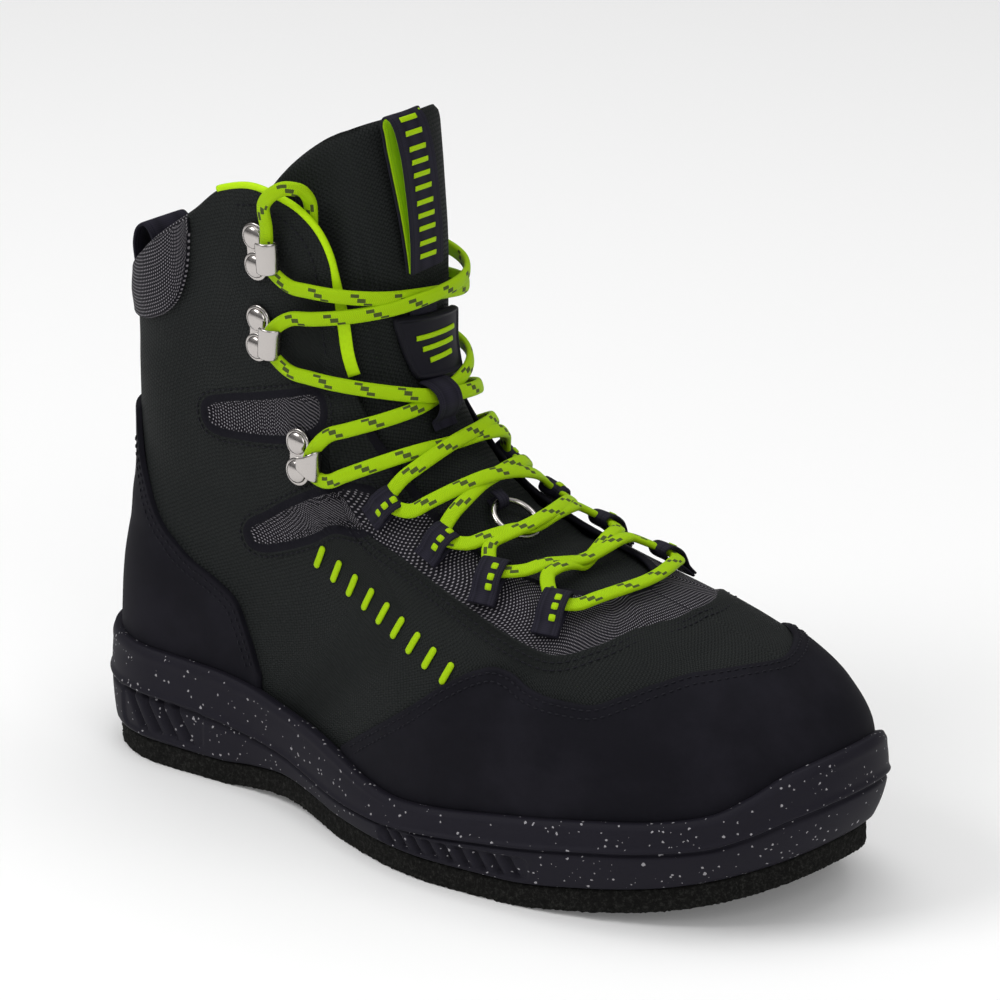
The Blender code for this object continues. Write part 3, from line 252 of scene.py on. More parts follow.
# Edges of the overlays, as turn against height
TOE_CAP_EDGE = columns("turn height", (
    (0.000, 0.838),
    (0.072, 0.846),
    (0.139, 0.842),
    (0.213, 0.810),
    (0.260, 0.770),
    (0.299, 0.738),
    (0.332, 0.742),
    (0.354, 0.758),
    (0.368, 0.792),
    (0.384, 0.800),
    (0.410, 0.778),
    (0.448, 0.720),
    (0.492, 0.618),
    (0.546, 0.484),
    (0.600, 0.345),
))
COUNTER_EDGE = columns("turn height", (
    (0.722, 0.440),
    (0.740, 0.600),
    (0.753, 0.705),
    (0.777, 0.760),
    (0.816, 0.818),
    (0.838, 0.885),
    (0.850, 0.980),
    (0.862, 1.100),
    (0.872, 1.230),
    (1.000, 1.240),
))
WINDOW_DEPTH = 1.2

# Lace loops from the ankle to the toe: where each strap folds, and where it is sewn down
LOOPS = columns("height turn sewn_height sewn_turn", (
    (1.176, 0.272, 1.104, 0.370),
    (1.100, 0.225, 1.030, 0.345),
    (1.040, 0.213, 0.940, 0.342),
    (0.985, 0.195, 0.885, 0.303),
))
LOOP_CLEAR = 0.35
LOOP_SEAT = 0.45
MOUTH_GAP = 0.5
# Where the lace leaves a loop, by its end: share of the strap's span from the fold, and offset
LOOP_MOUTHS = {1: (-0.32, 3.2), -1: (0.06, -7.7)}
CROSS_RISE = 2.5
# Crossings of the lace from the toe upwards: height and lift of the lower strand
CROSSINGS = columns("height lift", (
    (1.042, -1.2),
    (1.100, 2.3),
    (1.212, 2.6),
    (1.316, -0.9),
    (1.424, -0.9),
    (1.724, -0.9),
))

# Hooks from the top down: height, turn and tilt in degrees
HOOKS = columns("height turn tilt", (
    (1.832, 0.425, 0.0),
    (1.585, 0.430, -6.0),
    (1.245, 0.418, -35.0),
))

# Path of the heel loop over the back of the collar: ahead of its outer face and above its edge
HEEL_LOOP_PATH = ((-2.7, -9.0), (-3.1, -2.0), (-4.6, 6.0), (-5.0, 12.0), (-3.2, 17.5),
                  (0.4, 19.8), (4.2, 17.0), (6.6, 9.0), (6.8, 0.0), (6.7, -7.0))
# Route of a lace end from the top hook over the collar: height, turn and lift off the last
LACE_END = ((1.965, 0.405, 4.0), (2.012, 0.385, 4.9), (2.040, 0.350, 3.4),
            (2.030, 0.328, -0.2), (1.985, 0.322, -4.2), (1.935, 0.325, -4.5),
            (1.880, 0.330, -4.5))


def last(height, turn):
    """Outer face of the upper. turn runs from -1, the back, over 0, the front, to 1, the back;
    below 0 it is on the outer side of the foot."""
    height, turn = np.broadcast_arrays(np.asarray(height, float), np.asarray(turn, float))
    level = {name: curve(LEVELS, values, height) for name, values in LAST.items()}
    outer = turn < 0
    heel = np.where(outer, level["heel_out"], level["heel_in"]) * HEEL_WIDTH
    ball = np.where(outer, level["ball_out"], level["ball_in"]) * BALL_WIDTH
    x, y = plan(turn, level["back"], level["front"], level["toe_run"], level["heel_run"],
                heel, ball)
    return np.stack([x, y, height], -1)


def plan(turn, back, front, toe_run, heel_run, heel, ball, waist=0.0):
    """Outline of one level: a round toe, a straight side and a round heel."""
    back = back * SOLE_LENGTH
    front = front * SOLE_LENGTH
    toe_run = toe_run * SOLE_LENGTH
    heel_run = heel_run * SOLE_LENGTH
    side = np.where(turn < 0, -1.0, 1.0)
    straight = front - toe_run - back - heel_run
    total = (toe_run + heel_run) * math.pi / 2 + straight
    gone = np.abs(turn) * total
    toe_angle = np.clip(gone / toe_run, 0, math.pi / 2)
    heel_angle = np.clip((total - gone) / heel_run, 0, math.pi / 2)
    x = (front - toe_run * (1 - np.cos(toe_angle))
         - np.clip(gone - toe_run * math.pi / 2, 0, straight)
         - heel_run * np.cos(heel_angle))
    fullness = np.sin(toe_angle) ** TOE_BLUNT * np.sin(heel_angle) ** HEEL_BLUNT
    share = x / SOLE_LENGTH
    mix = smooth((share - HEEL_ENDS) / (BALL_STARTS - HEEL_ENDS))
    width = heel * (1 - mix) + ball * mix
    width = width - waist * np.exp(-((share - WAIST_AT) / WAIST_SPREAD) ** 2)
    toe_share = 1 - HEEL_BACK / SOLE_LENGTH
    middle = SWING * BALL_WIDTH * smooth((share - SWING_FROM) / (toe_share - SWING_FROM))
    return x, middle + side * width * fullness


def last_normal(height, turn):
    """Outward unit normal of the last."""
    around = last(height, np.asarray(turn) + 1e-4) - last(height, np.asarray(turn) - 1e-4)
    upward = last(np.asarray(height) + 0.05, turn) - last(np.asarray(height) - 0.05, turn)
    return unit(np.cross(around, upward), 1e-12)


def level_normal(height, turn):
    """The last's normal laid level."""
    return unit(last_normal(height, turn) * (1.0, 1.0, 0.0), 1e-12)


def on_last(height, turn, lift=0.0):
    """A point lifted off the last along its normal."""
    lift = np.asarray(lift, float)[..., None]
    return last(height, turn) + last_normal(height, turn) * lift


def sole_share(name, x):
    return curve(SOLE["along"], SOLE[name], np.asarray(x) / SOLE_LENGTH)


def sole_height(name, x):
    return sole_share(name, x) * HEEL_HEIGHT


def level_on_last(name, turn):
    """Height at which the last meets the sole's bed or rim."""
    height = np.full(np.shape(turn), HEEL_HEIGHT)
    for _ in range(14):
        height = sole_height(name, last(height, turn)[..., 0])
    return height


def felt_outline(turn, grow=0.0):
    """Plan of the felt, grown outwards."""
    plan_of = FELT_PLAN
    outer = turn < 0
    heel = np.where(outer, plan_of["heel_out"], plan_of["heel_in"]) * HEEL_WIDTH + grow
    ball = np.where(outer, plan_of["ball_out"], plan_of["ball_in"]) * BALL_WIDTH + grow
    waist = np.where(outer, plan_of["waist_out"], plan_of["waist_in"]) * HEEL_WIDTH
    x, y = plan(turn, plan_of["back"] - grow / SOLE_LENGTH, plan_of["front"] + grow / SOLE_LENGTH,
                plan_of["toe_run"], plan_of["heel_run"], heel, ball, waist)
    return x, y


def side_wall(up, turn, lift=0.0):
    """Side of the midsole, from its lower edge (up 0) to its rim (up 1)."""
    up, turn = np.broadcast_arrays(np.asarray(up, float), np.asarray(turn, float))
    x, y = felt_outline(turn, SOLE_OVERHANG)
    low = np.stack([x, y, sole_height("floor", x) + FELT_THICKNESS + FIT], -1)
    rim = level_on_last("rim", turn)
    high = last(rim, turn) + level_normal(rim, turn) * RIM_WIDTH
    out = level_normal(rim, turn)
    bulge = sole_share("bulge", high[..., 0]) * HEEL_HEIGHT * np.sin(math.pi * up) ** 0.8
    return low * (1 - up[..., None]) + high * up[..., None] + out * (bulge + lift)[..., None]


def wall_at(height, turn):
    """Thickness of the upper: padded around the back of the collar."""
    height = np.asarray(height, float)
    rear = smooth((np.abs(turn) - PAD_TURN) / PAD_RUN)
    top = smooth((height - rise(PAD_LOW)) / (rise(PAD_HIGH) - rise(PAD_LOW)))
    return UPPER_WALL + COLLAR_PAD * rear * top


def both_sides(share):
    """Turns down the outer side to the back and up the inner side again."""
    return np.concatenate([share[:-1] * -1.0, [-1.0], share[-2:0:-1]])


def edge_at(name, around):
    return curve(EDGE["around"], EDGE[name], around)


def loop_lines(index, side):
    """Fold and sewn end of a lace loop as (height share, turn), and the direction of its
    tunnel towards the ankle."""
    fold = np.array([LOOPS["height"][index], side * LOOPS["turn"][index]])
    sewn = np.array([LOOPS["sewn_height"][index], side * LOOPS["sewn_turn"][index]])
    centre = (fold + sewn) / 2
    span = on_last(rise(sewn[0]), sewn[1]) - on_last(rise(fold[0]), fold[1])
    sideways = np.cross(last_normal(rise(centre[0]), centre[1]), span / np.linalg.norm(span))
    return fold, sewn, sideways * -np.sign(sideways[0])


def hook_frame(index, side):
    """Place of a hook: local X points to the throat, Y up the shaft and Z out of it."""
    height = rise(HOOKS["height"][index])
    turn = side * HOOKS["turn"][index]
    out = last_normal(height, turn)
    up = last(height + 1, turn) - last(height - 1, turn)
    up -= out * np.dot(up, out)
    up /= np.linalg.norm(up)
    ahead = np.cross(up, out) * -side
    tilt = math.radians(HOOKS["tilt"][index])
    x_axis = ahead * math.cos(tilt) + up * math.sin(tilt)
    y_axis = up * math.cos(tilt) - ahead * math.sin(tilt)
    origin = on_last(height, turn, 0.9)
    return origin, x_axis, y_axis, out


def in_frame(frame, points):
    origin, x_axis, y_axis, out = frame
    points = np.asarray(points, float)
    return origin + points @ np.stack([x_axis, y_axis, out])


def settle(point, guess):
    """Place on the last, as height and turn, that is nearest to a point."""
    places = np.array([guess], float)
    for _ in range(6):
        places = places + slide(places, point - last(places[:, 0], places[:, 1]))
    return places[0]


def slide(places, moves):
    """Steps in height and turn that follow moves in space along the last."""
    probe = (0.05, 1e-4)
    height = places[:, 0]
    turn = places[:, 1]
    here = last(height, turn)
    up = (last(height + probe[0], turn) - here) / probe[0]
    around = (last(height, turn + probe[1]) - here) / probe[1]
    uu = (up * up).sum(1)
    aa = (around * around).sum(1)
    ua = (up * around).sum(1)
    um = (up * moves).sum(1)
    am = (around * moves).sum(1)
    det = np.maximum(uu * aa - ua * ua, 1e-9)
    return np.stack([(um * aa - am * ua) / det, (am * uu - um * ua) / det], -1)


def taut(start, end, steps):
    """Places of a taut run over the front of the last, from start to end."""
    t = np.linspace(0, 1, steps)[:, None]
    places = start * (1 - t) + end * t
    for _ in range(40):
        points = last(places[:, 0], places[:, 1])
        pull = (points[:-2] + points[2:]) / 2 - points[1:-1]
        places[1:-1] += slide(places[1:-1], pull) * 0.8
    return places


def tongue_top(height, turn, lift):
    """A point above the outer face of the tongue."""
    return on_last(height, turn, lift - UPPER_WALL - TONGUE_FIT)


# Photograph's view: angles in degrees, lengths in millimetres
VIEW_AZIMUTH = 39.6
VIEW_ELEVATION = 19.6
VIEW_ROLL = -0.48
VIEW_DISTANCE = 2001.0
VIEW_TARGET = (123.9, 4.4, 119.0)
VIEW_LENS = 205.2


# Meshes

def put_in_scene(name, data):
    made = bpy.data.objects.new(name, data)
    bpy.context.scene.collection.objects.link(made)
    return made


def new_object(name, points, faces, finish, coords=None, fields=None):
    """A smooth mesh from points in millimetres, with its faces turned outwards. coords are cloth
    coordinates for each face corner, and fields are numbers for each point."""
    points = np.asarray(points, float)
    sizes = np.array([len(face) for face in faces])
    volume = 0.0
    for face in (faces if len(faces) < 400 else faces[::7]):
        a = points[face[0]]
        for b, c in zip(face[1:-1], face[2:]):
            volume += np.dot(a, np.cross(points[b], points[c]))
    if volume < 0:
        faces = [tuple(reversed(face)) for face in faces]
        if coords is not None:
            ends = np.cumsum(sizes)
            coords = np.concatenate([coords[e - s:e][::-1] for s, e in zip(sizes, ends)])
    mesh = bpy.data.meshes.new(name)
    mesh.from_pydata((points * MM).tolist(), [], faces)
    mesh.polygons.foreach_set("use_smooth", np.ones(len(mesh.polygons), bool))
    if coords is not None:
        layer = mesh.attributes.new("cloth", "FLOAT_VECTOR", "CORNER")
        full = np.concatenate([coords, np.zeros((len(coords), 1))], 1)
        layer.data.foreach_set("vector", full.astype(np.float32).ravel())
    for field, values in (fields or {}).items():
        layer = mesh.attributes.new(field, "FLOAT", "POINT")
        layer.data.foreach_set("value", np.asarray(values, np.float32).ravel())
    mesh.update()
    mesh.materials.append(finish)
    return put_in_scene(name, mesh)


def surface(name, grid, finish, coords=None, around=False, through=False, fields=None):
    """Quads over a grid of points. around closes its columns and through its rows; where only
    one is closed, the open ends are capped. coords has a row and a column more where closed."""
    rows, cols = grid.shape[:2]
    i, j = np.meshgrid(np.arange(rows - 1 + through), np.arange(cols - 1 + around), indexing="ij")
    i = i.ravel()
    j = j.ravel()
    corner_i = np.stack([i, i, i + 1, i + 1], 1)
    corner_j = np.stack([j, j + 1, j + 1, j], 1)
    faces = ((corner_i % rows) * cols + corner_j % cols).tolist()
    corners = None if coords is None else coords[corner_i, corner_j].reshape(-1, 2)
    down = np.arange(rows)
    over = np.arange(cols)
    caps = []
    if through and not around:
        caps = [(down, np.full(rows, 0)), (down[::-1], np.full(rows, cols - 1))]
    elif around and not through:
        caps = [(np.full(cols, 0), over[::-1]), (np.full(cols, rows - 1), over)]
    for cap_i, cap_j in caps:
        faces.append((cap_i * cols + cap_j).tolist())
        if corners is not None:
            corners = np.concatenate([corners, coords[cap_i, cap_j]])
    flat = {key: np.asarray(values).ravel() for key, values in (fields or {}).items()}
    return new_object(name, grid.reshape(-1, 3), faces, finish, corners, flat)


def unit(vectors, least=1e-9):
    return vectors / np.maximum(np.linalg.norm(vectors, axis=-1, keepdims=True), least)


def walked(path, axis=0):
    """Distance along a path, or along the lines of a grid, to each of its points."""
    steps = np.linalg.norm(np.diff(path, axis=axis), axis=-1)
    return np.concatenate([np.zeros_like(steps.take([0], axis)), np.cumsum(steps, axis)], axis)


def square_to(path, axis):
    """Directions square to a path and to an axis."""
    return unit(np.cross(np.gradient(path, axis=0), axis))


def tube_faces(start, rings, around):
    """Faces of a closed tube whose rings of points begin at the index start."""
    faces = []
    for here in range(start, start + (rings - 1) * around, around):
        for k in range(around):
            m = (k + 1) % around
            faces.append((here + k, here + m, here + around + m, here + around + k))
    faces.append(tuple(start + around - 1 - k for k in range(around)))
    faces.append(tuple(start + (rings - 1) * around + k for k in range(around)))
    return faces


def sheet(name, outer, under, finish, coords):
    """A thin piece between two faces of the same grid."""
    coords = np.concatenate([coords, coords[::-1], coords[:1]])
    return surface(name, np.concatenate([outer, under[::-1]]), finish, coords, through=True)


def resample(path, step, *others):
    """The path, and arrays that go with it, at even distances."""
    along = walked(path)
    count = max(int(round(along[-1] / step)), 2)
    t = np.linspace(0, along[-1], count + 1)
    results = [np.stack([np.interp(t, along, values[:, k]) for k in range(values.shape[1])], -1)
               for values in (path,) + others]
    return results if others else results[0]


def flowing(points, count):
    """A smooth path through points, by centripetal Catmull-Rom."""
    points = np.asarray(points, float)
    ends = [2 * points[0] - points[1], 2 * points[-1] - points[-2]]
    full = np.concatenate([[ends[0]], points, [ends[1]]])
    knots = np.concatenate([[0.0], np.cumsum(np.linalg.norm(np.diff(full[:, :3], axis=0), axis=1)
                                             ** 0.5)])
    t = np.linspace(knots[1], knots[-2], count)
    k = np.clip(np.searchsorted(knots, t, side="right") - 1, 1, len(full) - 3)
    t0, t1, t2, t3 = (knots[k + n][:, None] for n in (-1, 0, 1, 2))
    p0, p1, p2, p3 = (full[k + n] for n in (-1, 0, 1, 2))
    t = t[:, None]
    a1 = (t1 - t) / (t1 - t0) * p0 + (t - t0) / (t1 - t0) * p1
    a2 = (t2 - t) / (t2 - t1) * p1 + (t - t1) / (t2 - t1) * p2
    a3 = (t3 - t) / (t3 - t2) * p2 + (t - t2) / (t3 - t2) * p3
    b1 = (t2 - t) / (t2 - t0) * a1 + (t - t0) / (t2 - t0) * a2
    b2 = (t3 - t) / (t3 - t1) * a2 + (t - t1) / (t3 - t1) * a3
    return (t2 - t) / (t2 - t1) * b1 + (t - t1) / (t2 - t1) * b2


def sweep(name, path, ups, width, thickness, finish, sides=14, squareness=2.0, closed=False):
    """A cord or strap along a path, its flat face turned to the ups. Cloth coordinates run
    across it and along it."""
    path = np.asarray(path, float)
    before = np.roll(path, 1, 0)
    after = np.roll(path, -1, 0)
    if not closed:
        before[0] = path[0]
        after[-1] = path[-1]
    along = unit(after - before)
    across = unit(np.cross(along, ups))
    up = np.cross(across, along)
    angles = np.arange(sides) * 2 * math.pi / sides
    round_x = np.sign(np.cos(angles)) * np.abs(np.cos(angles)) ** (2 / squareness)
    round_y = np.sign(np.sin(angles)) * np.abs(np.sin(angles)) ** (2 / squareness)
    width = np.broadcast_to(np.asarray(width, float), len(path))
    thickness = np.broadcast_to(np.asarray(thickness, float), len(path))
    grid = (path[:, None] + across[:, None] * (round_x[None, :] * width[:, None] / 2)[..., None]
            + up[:, None] * (round_y[None, :] * thickness[:, None] / 2)[..., None])
    along_mm = walked(path)
    if closed:
        along_mm = np.append(along_mm, along_mm[-1] + np.linalg.norm(path[-1] - path[0]))
    turn = np.arange(sides + 1) / sides
    coords = np.stack(np.broadcast_arrays(turn[None, :] * 2, along_mm[:, None]), -1)
    return surface(name, grid, finish, coords, around=True, through=closed)


def settle_all(points, heights, turns):
    """Places on the last nearest to points, as heights and turns, from a guess."""
    places = np.stack([heights, turns], -1)
    for _ in range(5):
        places = places + slide(places, points - last(places[:, 0], places[:, 1]))
    return places[:, 0], places[:, 1]


def beside(heights, turns, distance):
    """A line on the last at a distance to the left of another, seen from outside."""
    points = last(heights, turns)
    away = square_to(points, -last_normal(heights, turns))
    return settle_all(points + away * distance, heights, turns)


def inset(heights, turns, distance):
    """A line on the last at a distance from another, on its lower or rearward side."""
    lines = [beside(heights, turns, sign * distance) for sign in (-1, 1)]
    rank = [line[0].mean() - 60 * np.abs(line[1]).mean() for line in lines]
    return lines[int(rank[1] < rank[0])]


def distance_to(points, line, chunk=4000):
    """Distance of each point to a dense line, and the index of the nearest point there."""
    best = np.empty(len(points))
    nearest = np.empty(len(points), int)
    for start in range(0, len(points), chunk):
        part = points[start:start + chunk]
        gaps = ((part[:, None] - line[None]) ** 2).sum(-1)
        nearest[start:start + chunk] = gaps.argmin(1)
        best[start:start + chunk] = np.sqrt(gaps.min(1))
    return best, nearest


# Materials

class Graph:
    """A material's node tree, with short calls for what the finishes share."""

    def __init__(self, name, color, roughness, metallic=0.0):
        self.material = bpy.data.materials.new(name)
        self.material.use_nodes = True
        self.tree = self.material.node_tree
        self.shader = self.tree.nodes["Principled BSDF"]
        self.shader.inputs["Base Color"].default_value = (*color, 1.0)
        self.shader.inputs["Roughness"].default_value = roughness
        self.shader.inputs["Metallic"].default_value = metallic
        self.shader.inputs["Specular IOR Level"].default_value = 0.5 if metallic else 0.12
        self.material.diffuse_color = (*color, 1.0)

    def feed(self, socket, value):
        if isinstance(value, bpy.types.NodeSocket):
            self.tree.links.new(value, socket)
        elif socket.type == "RGBA":
            socket.default_value = (*value, 1.0)
        else:
            socket.default_value = value

    def node(self, kind, inputs=(), **settings):
        """A node with its settings, and its inputs fed from pairs of socket and value."""
        made = self.tree.nodes.new(kind)
        for key, value in settings.items():
            setattr(made, key, value)
        for socket, value in inputs:
            self.feed(made.inputs[socket], value)
        return made

    def field(self, name):
        return self.node("ShaderNodeAttribute", attribute_name=name).outputs["Fac"]

    def cloth(self):
        return self.node("ShaderNodeAttribute", attribute_name="cloth").outputs["Vector"]

    def place(self):
        return self.node("ShaderNodeTexCoord").outputs["Object"]

    def math(self, operation, *values):
        return self.node("ShaderNodeMath", enumerate(values), operation=operation).outputs[0]

    def parts(self, vector):
        return tuple(self.node("ShaderNodeSeparateXYZ", [(0, vector)]).outputs)

    def step(self, value, low, high, start=0.0, end=1.0):
        inputs = [("Value", value), ("From Min", low), ("From Max", high), ("To Min", start),
                  ("To Max", end)]
        return self.node("ShaderNodeMapRange", inputs,
                         interpolation_type="SMOOTHSTEP").outputs["Result"]

    def ridges(self, value, rate):
        """Rounded ridges from 0 to 1, one for each pi of value times rate."""
        return self.math("ABSOLUTE", self.math("SINE", self.math("MULTIPLY", value, rate)))

    def noise(self, vector, scale, detail=3.0, roughness=0.5):
        inputs = [("Vector", vector), ("Scale", scale), ("Detail", detail),
                  ("Roughness", roughness)]
        return self.node("ShaderNodeTexNoise", inputs).outputs["Fac"]

    def mix(self, share, a, b):
        """A colour between a and b."""
        inputs = [("Factor", share), (6, a), (7, b)]
        return self.node("ShaderNodeMix", inputs, data_type="RGBA").outputs[2]

    def blend(self, share, a, b):
        """A number between a and b."""
        inputs = [("Factor", share), (2, a), (3, b)]
        return self.node("ShaderNodeMix", inputs, data_type="FLOAT").outputs[0]

    def color(self, value):
        self.feed(self.shader.inputs["Base Color"], value)

    def rough(self, value):
        self.feed(self.shader.inputs["Roughness"], value)

    def bump(self, height, depth, strength=1.0):
        """height runs from 0 to 1, depth is what 1 means in millimetres."""
        inputs = [("Strength", strength), ("Distance", depth * MM), ("Height", height)]
        made = self.node("ShaderNodeBump", inputs)
        self.feed(self.shader.inputs["Normal"], made.outputs["Normal"])


def turned(g, vector, degrees):
    """Cloth coordinates turned about their origin."""
    inputs = [("Vector", vector), ("Angle", math.radians(degrees))]
    return g.node("ShaderNodeVectorRotate", inputs, rotation_type="Z_AXIS").outputs[0]


def weave(g, vector, pitch):
    """Plain weave: height 0 to 1 of over and under threads, a thread each pitch."""
    u, v, _ = g.parts(vector)
    over = g.node("ShaderNodeTexChecker", [("Vector", vector), ("Scale", 1.0 / pitch)])
    ridges = [g.ridges(axis, math.pi / pitch) for axis in (u, v)]
    return g.blend(over.outputs["Fac"], *ridges)


def dots(g, vector, pitch):
    """Staggered round dots, 1 at their middles."""
    u, v, _ = g.parts(vector)
    waves = [g.math("COSINE", g.math("MULTIPLY", axis, 2 * math.pi / pitch)) for axis in (u, v)]
    return g.math("MULTIPLY_ADD", g.math("ADD", waves[0], waves[1]), 0.25, 0.5)


# Colours, as linear shares of red, green and blue
CLOTH_COLOR = (0.0050, 0.0060, 0.0060)
CLOTH_LIGHT = (0.0190, 0.0215, 0.0210)
NUBUCK_COLOR = (0.0060, 0.0056, 0.0092)
NUBUCK_DARK = (0.0045, 0.0042, 0.0072)
NUBUCK_LIGHT = (0.0100, 0.0093, 0.0140)
MESH_DARK = (0.0065, 0.0060, 0.0092)
MESH_LIGHT = (0.2900, 0.2740, 0.2990)
RUBBER_COLOR = (0.0115, 0.0105, 0.0165)
RUBBER_DARK = (0.0082, 0.0074, 0.0122)
RUBBER_LIGHT = (0.0132, 0.0121, 0.0187)
RUBBER_SPECK = (0.3600, 0.3500, 0.3700)
FELT_COLOR = (0.0060, 0.0060, 0.0055)
FELT_LIGHT = (0.0340, 0.0340, 0.0310)
WEBBING_COLOR = (0.0060, 0.0055, 0.0105)
WEBBING_LIGHT = (0.0170, 0.0155, 0.0260)
LIME_COLOR = (0.3900, 0.6300, 0.0020)
LIME_SHADE = (0.2600, 0.4500, 0.0015)
LIME_TAPE_COLOR = (0.2700, 0.4800, 0.0030)
LIME_TAPE_LIGHT = (0.4000, 0.6600, 0.0060)
DASH_COLOR = (0.0420, 0.0480, 0.0220)
THREAD_COLOR = (0.0120, 0.0118, 0.0165)
BADGE_COLOR = (0.0085, 0.0080, 0.0130)
PIPING_COLOR = (0.5200, 0.8400, 0.0040)
STEEL_COLOR = (0.50, 0.47, 0.45)

# Sizes in the cloths, in millimetres
WEAVE_PITCH = 1.15
WEAVE_ANGLE = 38.0
MESH_PITCH = 1.30
BRAID_PITCH = 0.62
PICK_PITCH = 0.7
RIBS_ON_TAPE = 9.0
# Rows of dark dashes on each face of the lace: place across it, and shift along it
DASH_ROWS = ((0.27, 0.0), (0.45, 2.3), (0.63, 4.6))
DASH_PITCH = 15.0
DASH_SHARE = 0.19
# Flakes in the rubber: cells for each metre, size in cells, and share of the empty cells
FLAKES = ((230.0, 0.12, 0.58), (520.0, 0.18, 0.62))


def cloth_finish(g, vector):
    """Colour and bump height of the woven cloth."""
    threads = weave(g, turned(g, vector, WEAVE_ANGLE), WEAVE_PITCH)
    wide = g.noise(g.place(), 18.0, 3.0)
    color = g.mix(g.math("MULTIPLY", threads, g.math("MULTIPLY_ADD", wide, 0.9, 0.35)),
                  CLOTH_COLOR, CLOTH_LIGHT)
    return color, threads


def mesh_finish(g, vector):
    """Colour and bump height of the mesh with its pale dots."""
    spot = dots(g, vector, MESH_PITCH)
    color = g.mix(g.step(spot, 0.68, 0.92), MESH_DARK, MESH_LIGHT)
    return color, spot


def cloth_material():
    g = Graph("woven_cloth", CLOTH_COLOR, 0.72)
    color, threads = cloth_finish(g, g.cloth())
    g.color(color)
    g.bump(threads, 0.25, 1.0)
    return g.material


def upper_material():
    """Woven cloth, mesh in the windows and the eyestay, dark binding around them, lining."""
    g = Graph("upper_cloth", CLOTH_COLOR, 0.72)
    vector = g.cloth()
    cloth, threads = cloth_finish(g, vector)
    mesh, spots = mesh_finish(g, vector)
    window = g.field("window")
    open_mesh = g.step(window, -0.35, 0.1, 1.0, 0.0)
    binding = g.math("MULTIPLY", g.step(window, -0.35, 0.1), g.step(window, 2.7, 3.1, 1.0, 0.0))
    rim = g.step(g.field("edge"), 2.6, 3.0, 1.0, 0.0)
    binding = g.math("MAXIMUM", binding, rim)
    grain = g.noise(g.place(), 1400.0, 2.0)
    lining = g.math("MULTIPLY", g.step(g.field("inside"), 0.4, 0.6),
                    g.math("GREATER_THAN", window, -1.0))
    color = g.mix(binding, g.mix(open_mesh, cloth, mesh), NUBUCK_COLOR)
    g.color(g.mix(lining, color, MESH_DARK))
    g.rough(g.blend(binding, 0.70, 0.82))
    g.bump(g.blend(binding, g.blend(open_mesh, threads, spots), grain), 0.25, 1.0)
    return g.material


def nubuck_material():
    g = Graph("nubuck", NUBUCK_COLOR, 0.78)
    place = g.place()
    nap = g.noise(place, 900.0, 4.0, 0.7)
    cloudy = g.noise(place, 35.0, 4.0, 0.6)
    g.color(g.mix(g.step(cloudy, 0.35, 0.75), NUBUCK_DARK, NUBUCK_LIGHT))
    g.rough(g.blend(cloudy, 0.68, 0.9))
    g.bump(g.blend(0.25, nap, cloudy), 0.12, 0.7)
    return g.material


def mesh_material():
    g = Graph("mesh_cloth", MESH_DARK, 0.7)
    color, spots = mesh_finish(g, g.cloth())
    g.color(color)
    g.bump(spots, 0.22, 0.8)
    return g.material


def rubber_material():
    """Foam rubber with pale flakes of a few sizes."""
    g = Graph("midsole_rubber", RUBBER_COLOR, 0.62)
    place = g.place()
    wobble = g.node("ShaderNodeTexNoise", [("Vector", place), ("Scale", 900.0)])
    inputs = enumerate((wobble.outputs["Color"], (1.2 * MM,) * 3, place))
    bent = g.node("ShaderNodeVectorMath", inputs, operation="MULTIPLY_ADD").outputs[0]
    flakes = None
    for scale, size, empty in FLAKES:
        cells = g.node("ShaderNodeTexVoronoi", [("Vector", bent), ("Scale", scale)])
        chance, spread, _ = g.parts(cells.outputs["Color"])
        limit = g.math("MULTIPLY_ADD", spread, size * 0.8, size * 0.6)
        near = g.math("LESS_THAN", cells.outputs["Distance"], limit)
        there = g.math("MULTIPLY", near, g.math("GREATER_THAN", chance, empty))
        flakes = there if flakes is None else g.math("MAXIMUM", flakes, there)
    cloudy = g.noise(place, 22.0, 3.0)
    base = g.mix(cloudy, RUBBER_DARK, RUBBER_LIGHT)
    g.color(g.mix(g.math("MULTIPLY", flakes, 0.85), base, RUBBER_SPECK))
    g.rough(g.blend(cloudy, 0.55, 0.72))
    g.bump(g.noise(place, 1600.0, 3.0), 0.05, 0.5)
    return g.material


def felt_material():
    g = Graph("felt", FELT_COLOR, 0.95)
    place = g.place()
    fibres = g.noise(place, 750.0, 6.0, 0.8)
    tufts = g.noise(place, 160.0, 4.0, 0.7)
    g.color(g.mix(g.step(fibres, 0.46, 0.72), FELT_COLOR, FELT_LIGHT))
    g.bump(g.blend(0.5, fibres, tufts), 0.9, 1.0)
    return g.material


def webbing_material(name="webbing", color=WEBBING_COLOR, light=WEBBING_LIGHT):
    """Ribbed tape: its ribs run along it."""
    g = Graph(name, color, 0.7)
    across, along, _ = g.parts(g.cloth())
    ribs = g.ridges(across, math.pi * RIBS_ON_TAPE)
    picks = g.ridges(along, math.pi / PICK_PITCH)
    height = g.blend(0.35, ribs, picks)
    g.color(g.mix(height, color, light))
    g.bump(height, 0.16, 0.9)
    return g.material


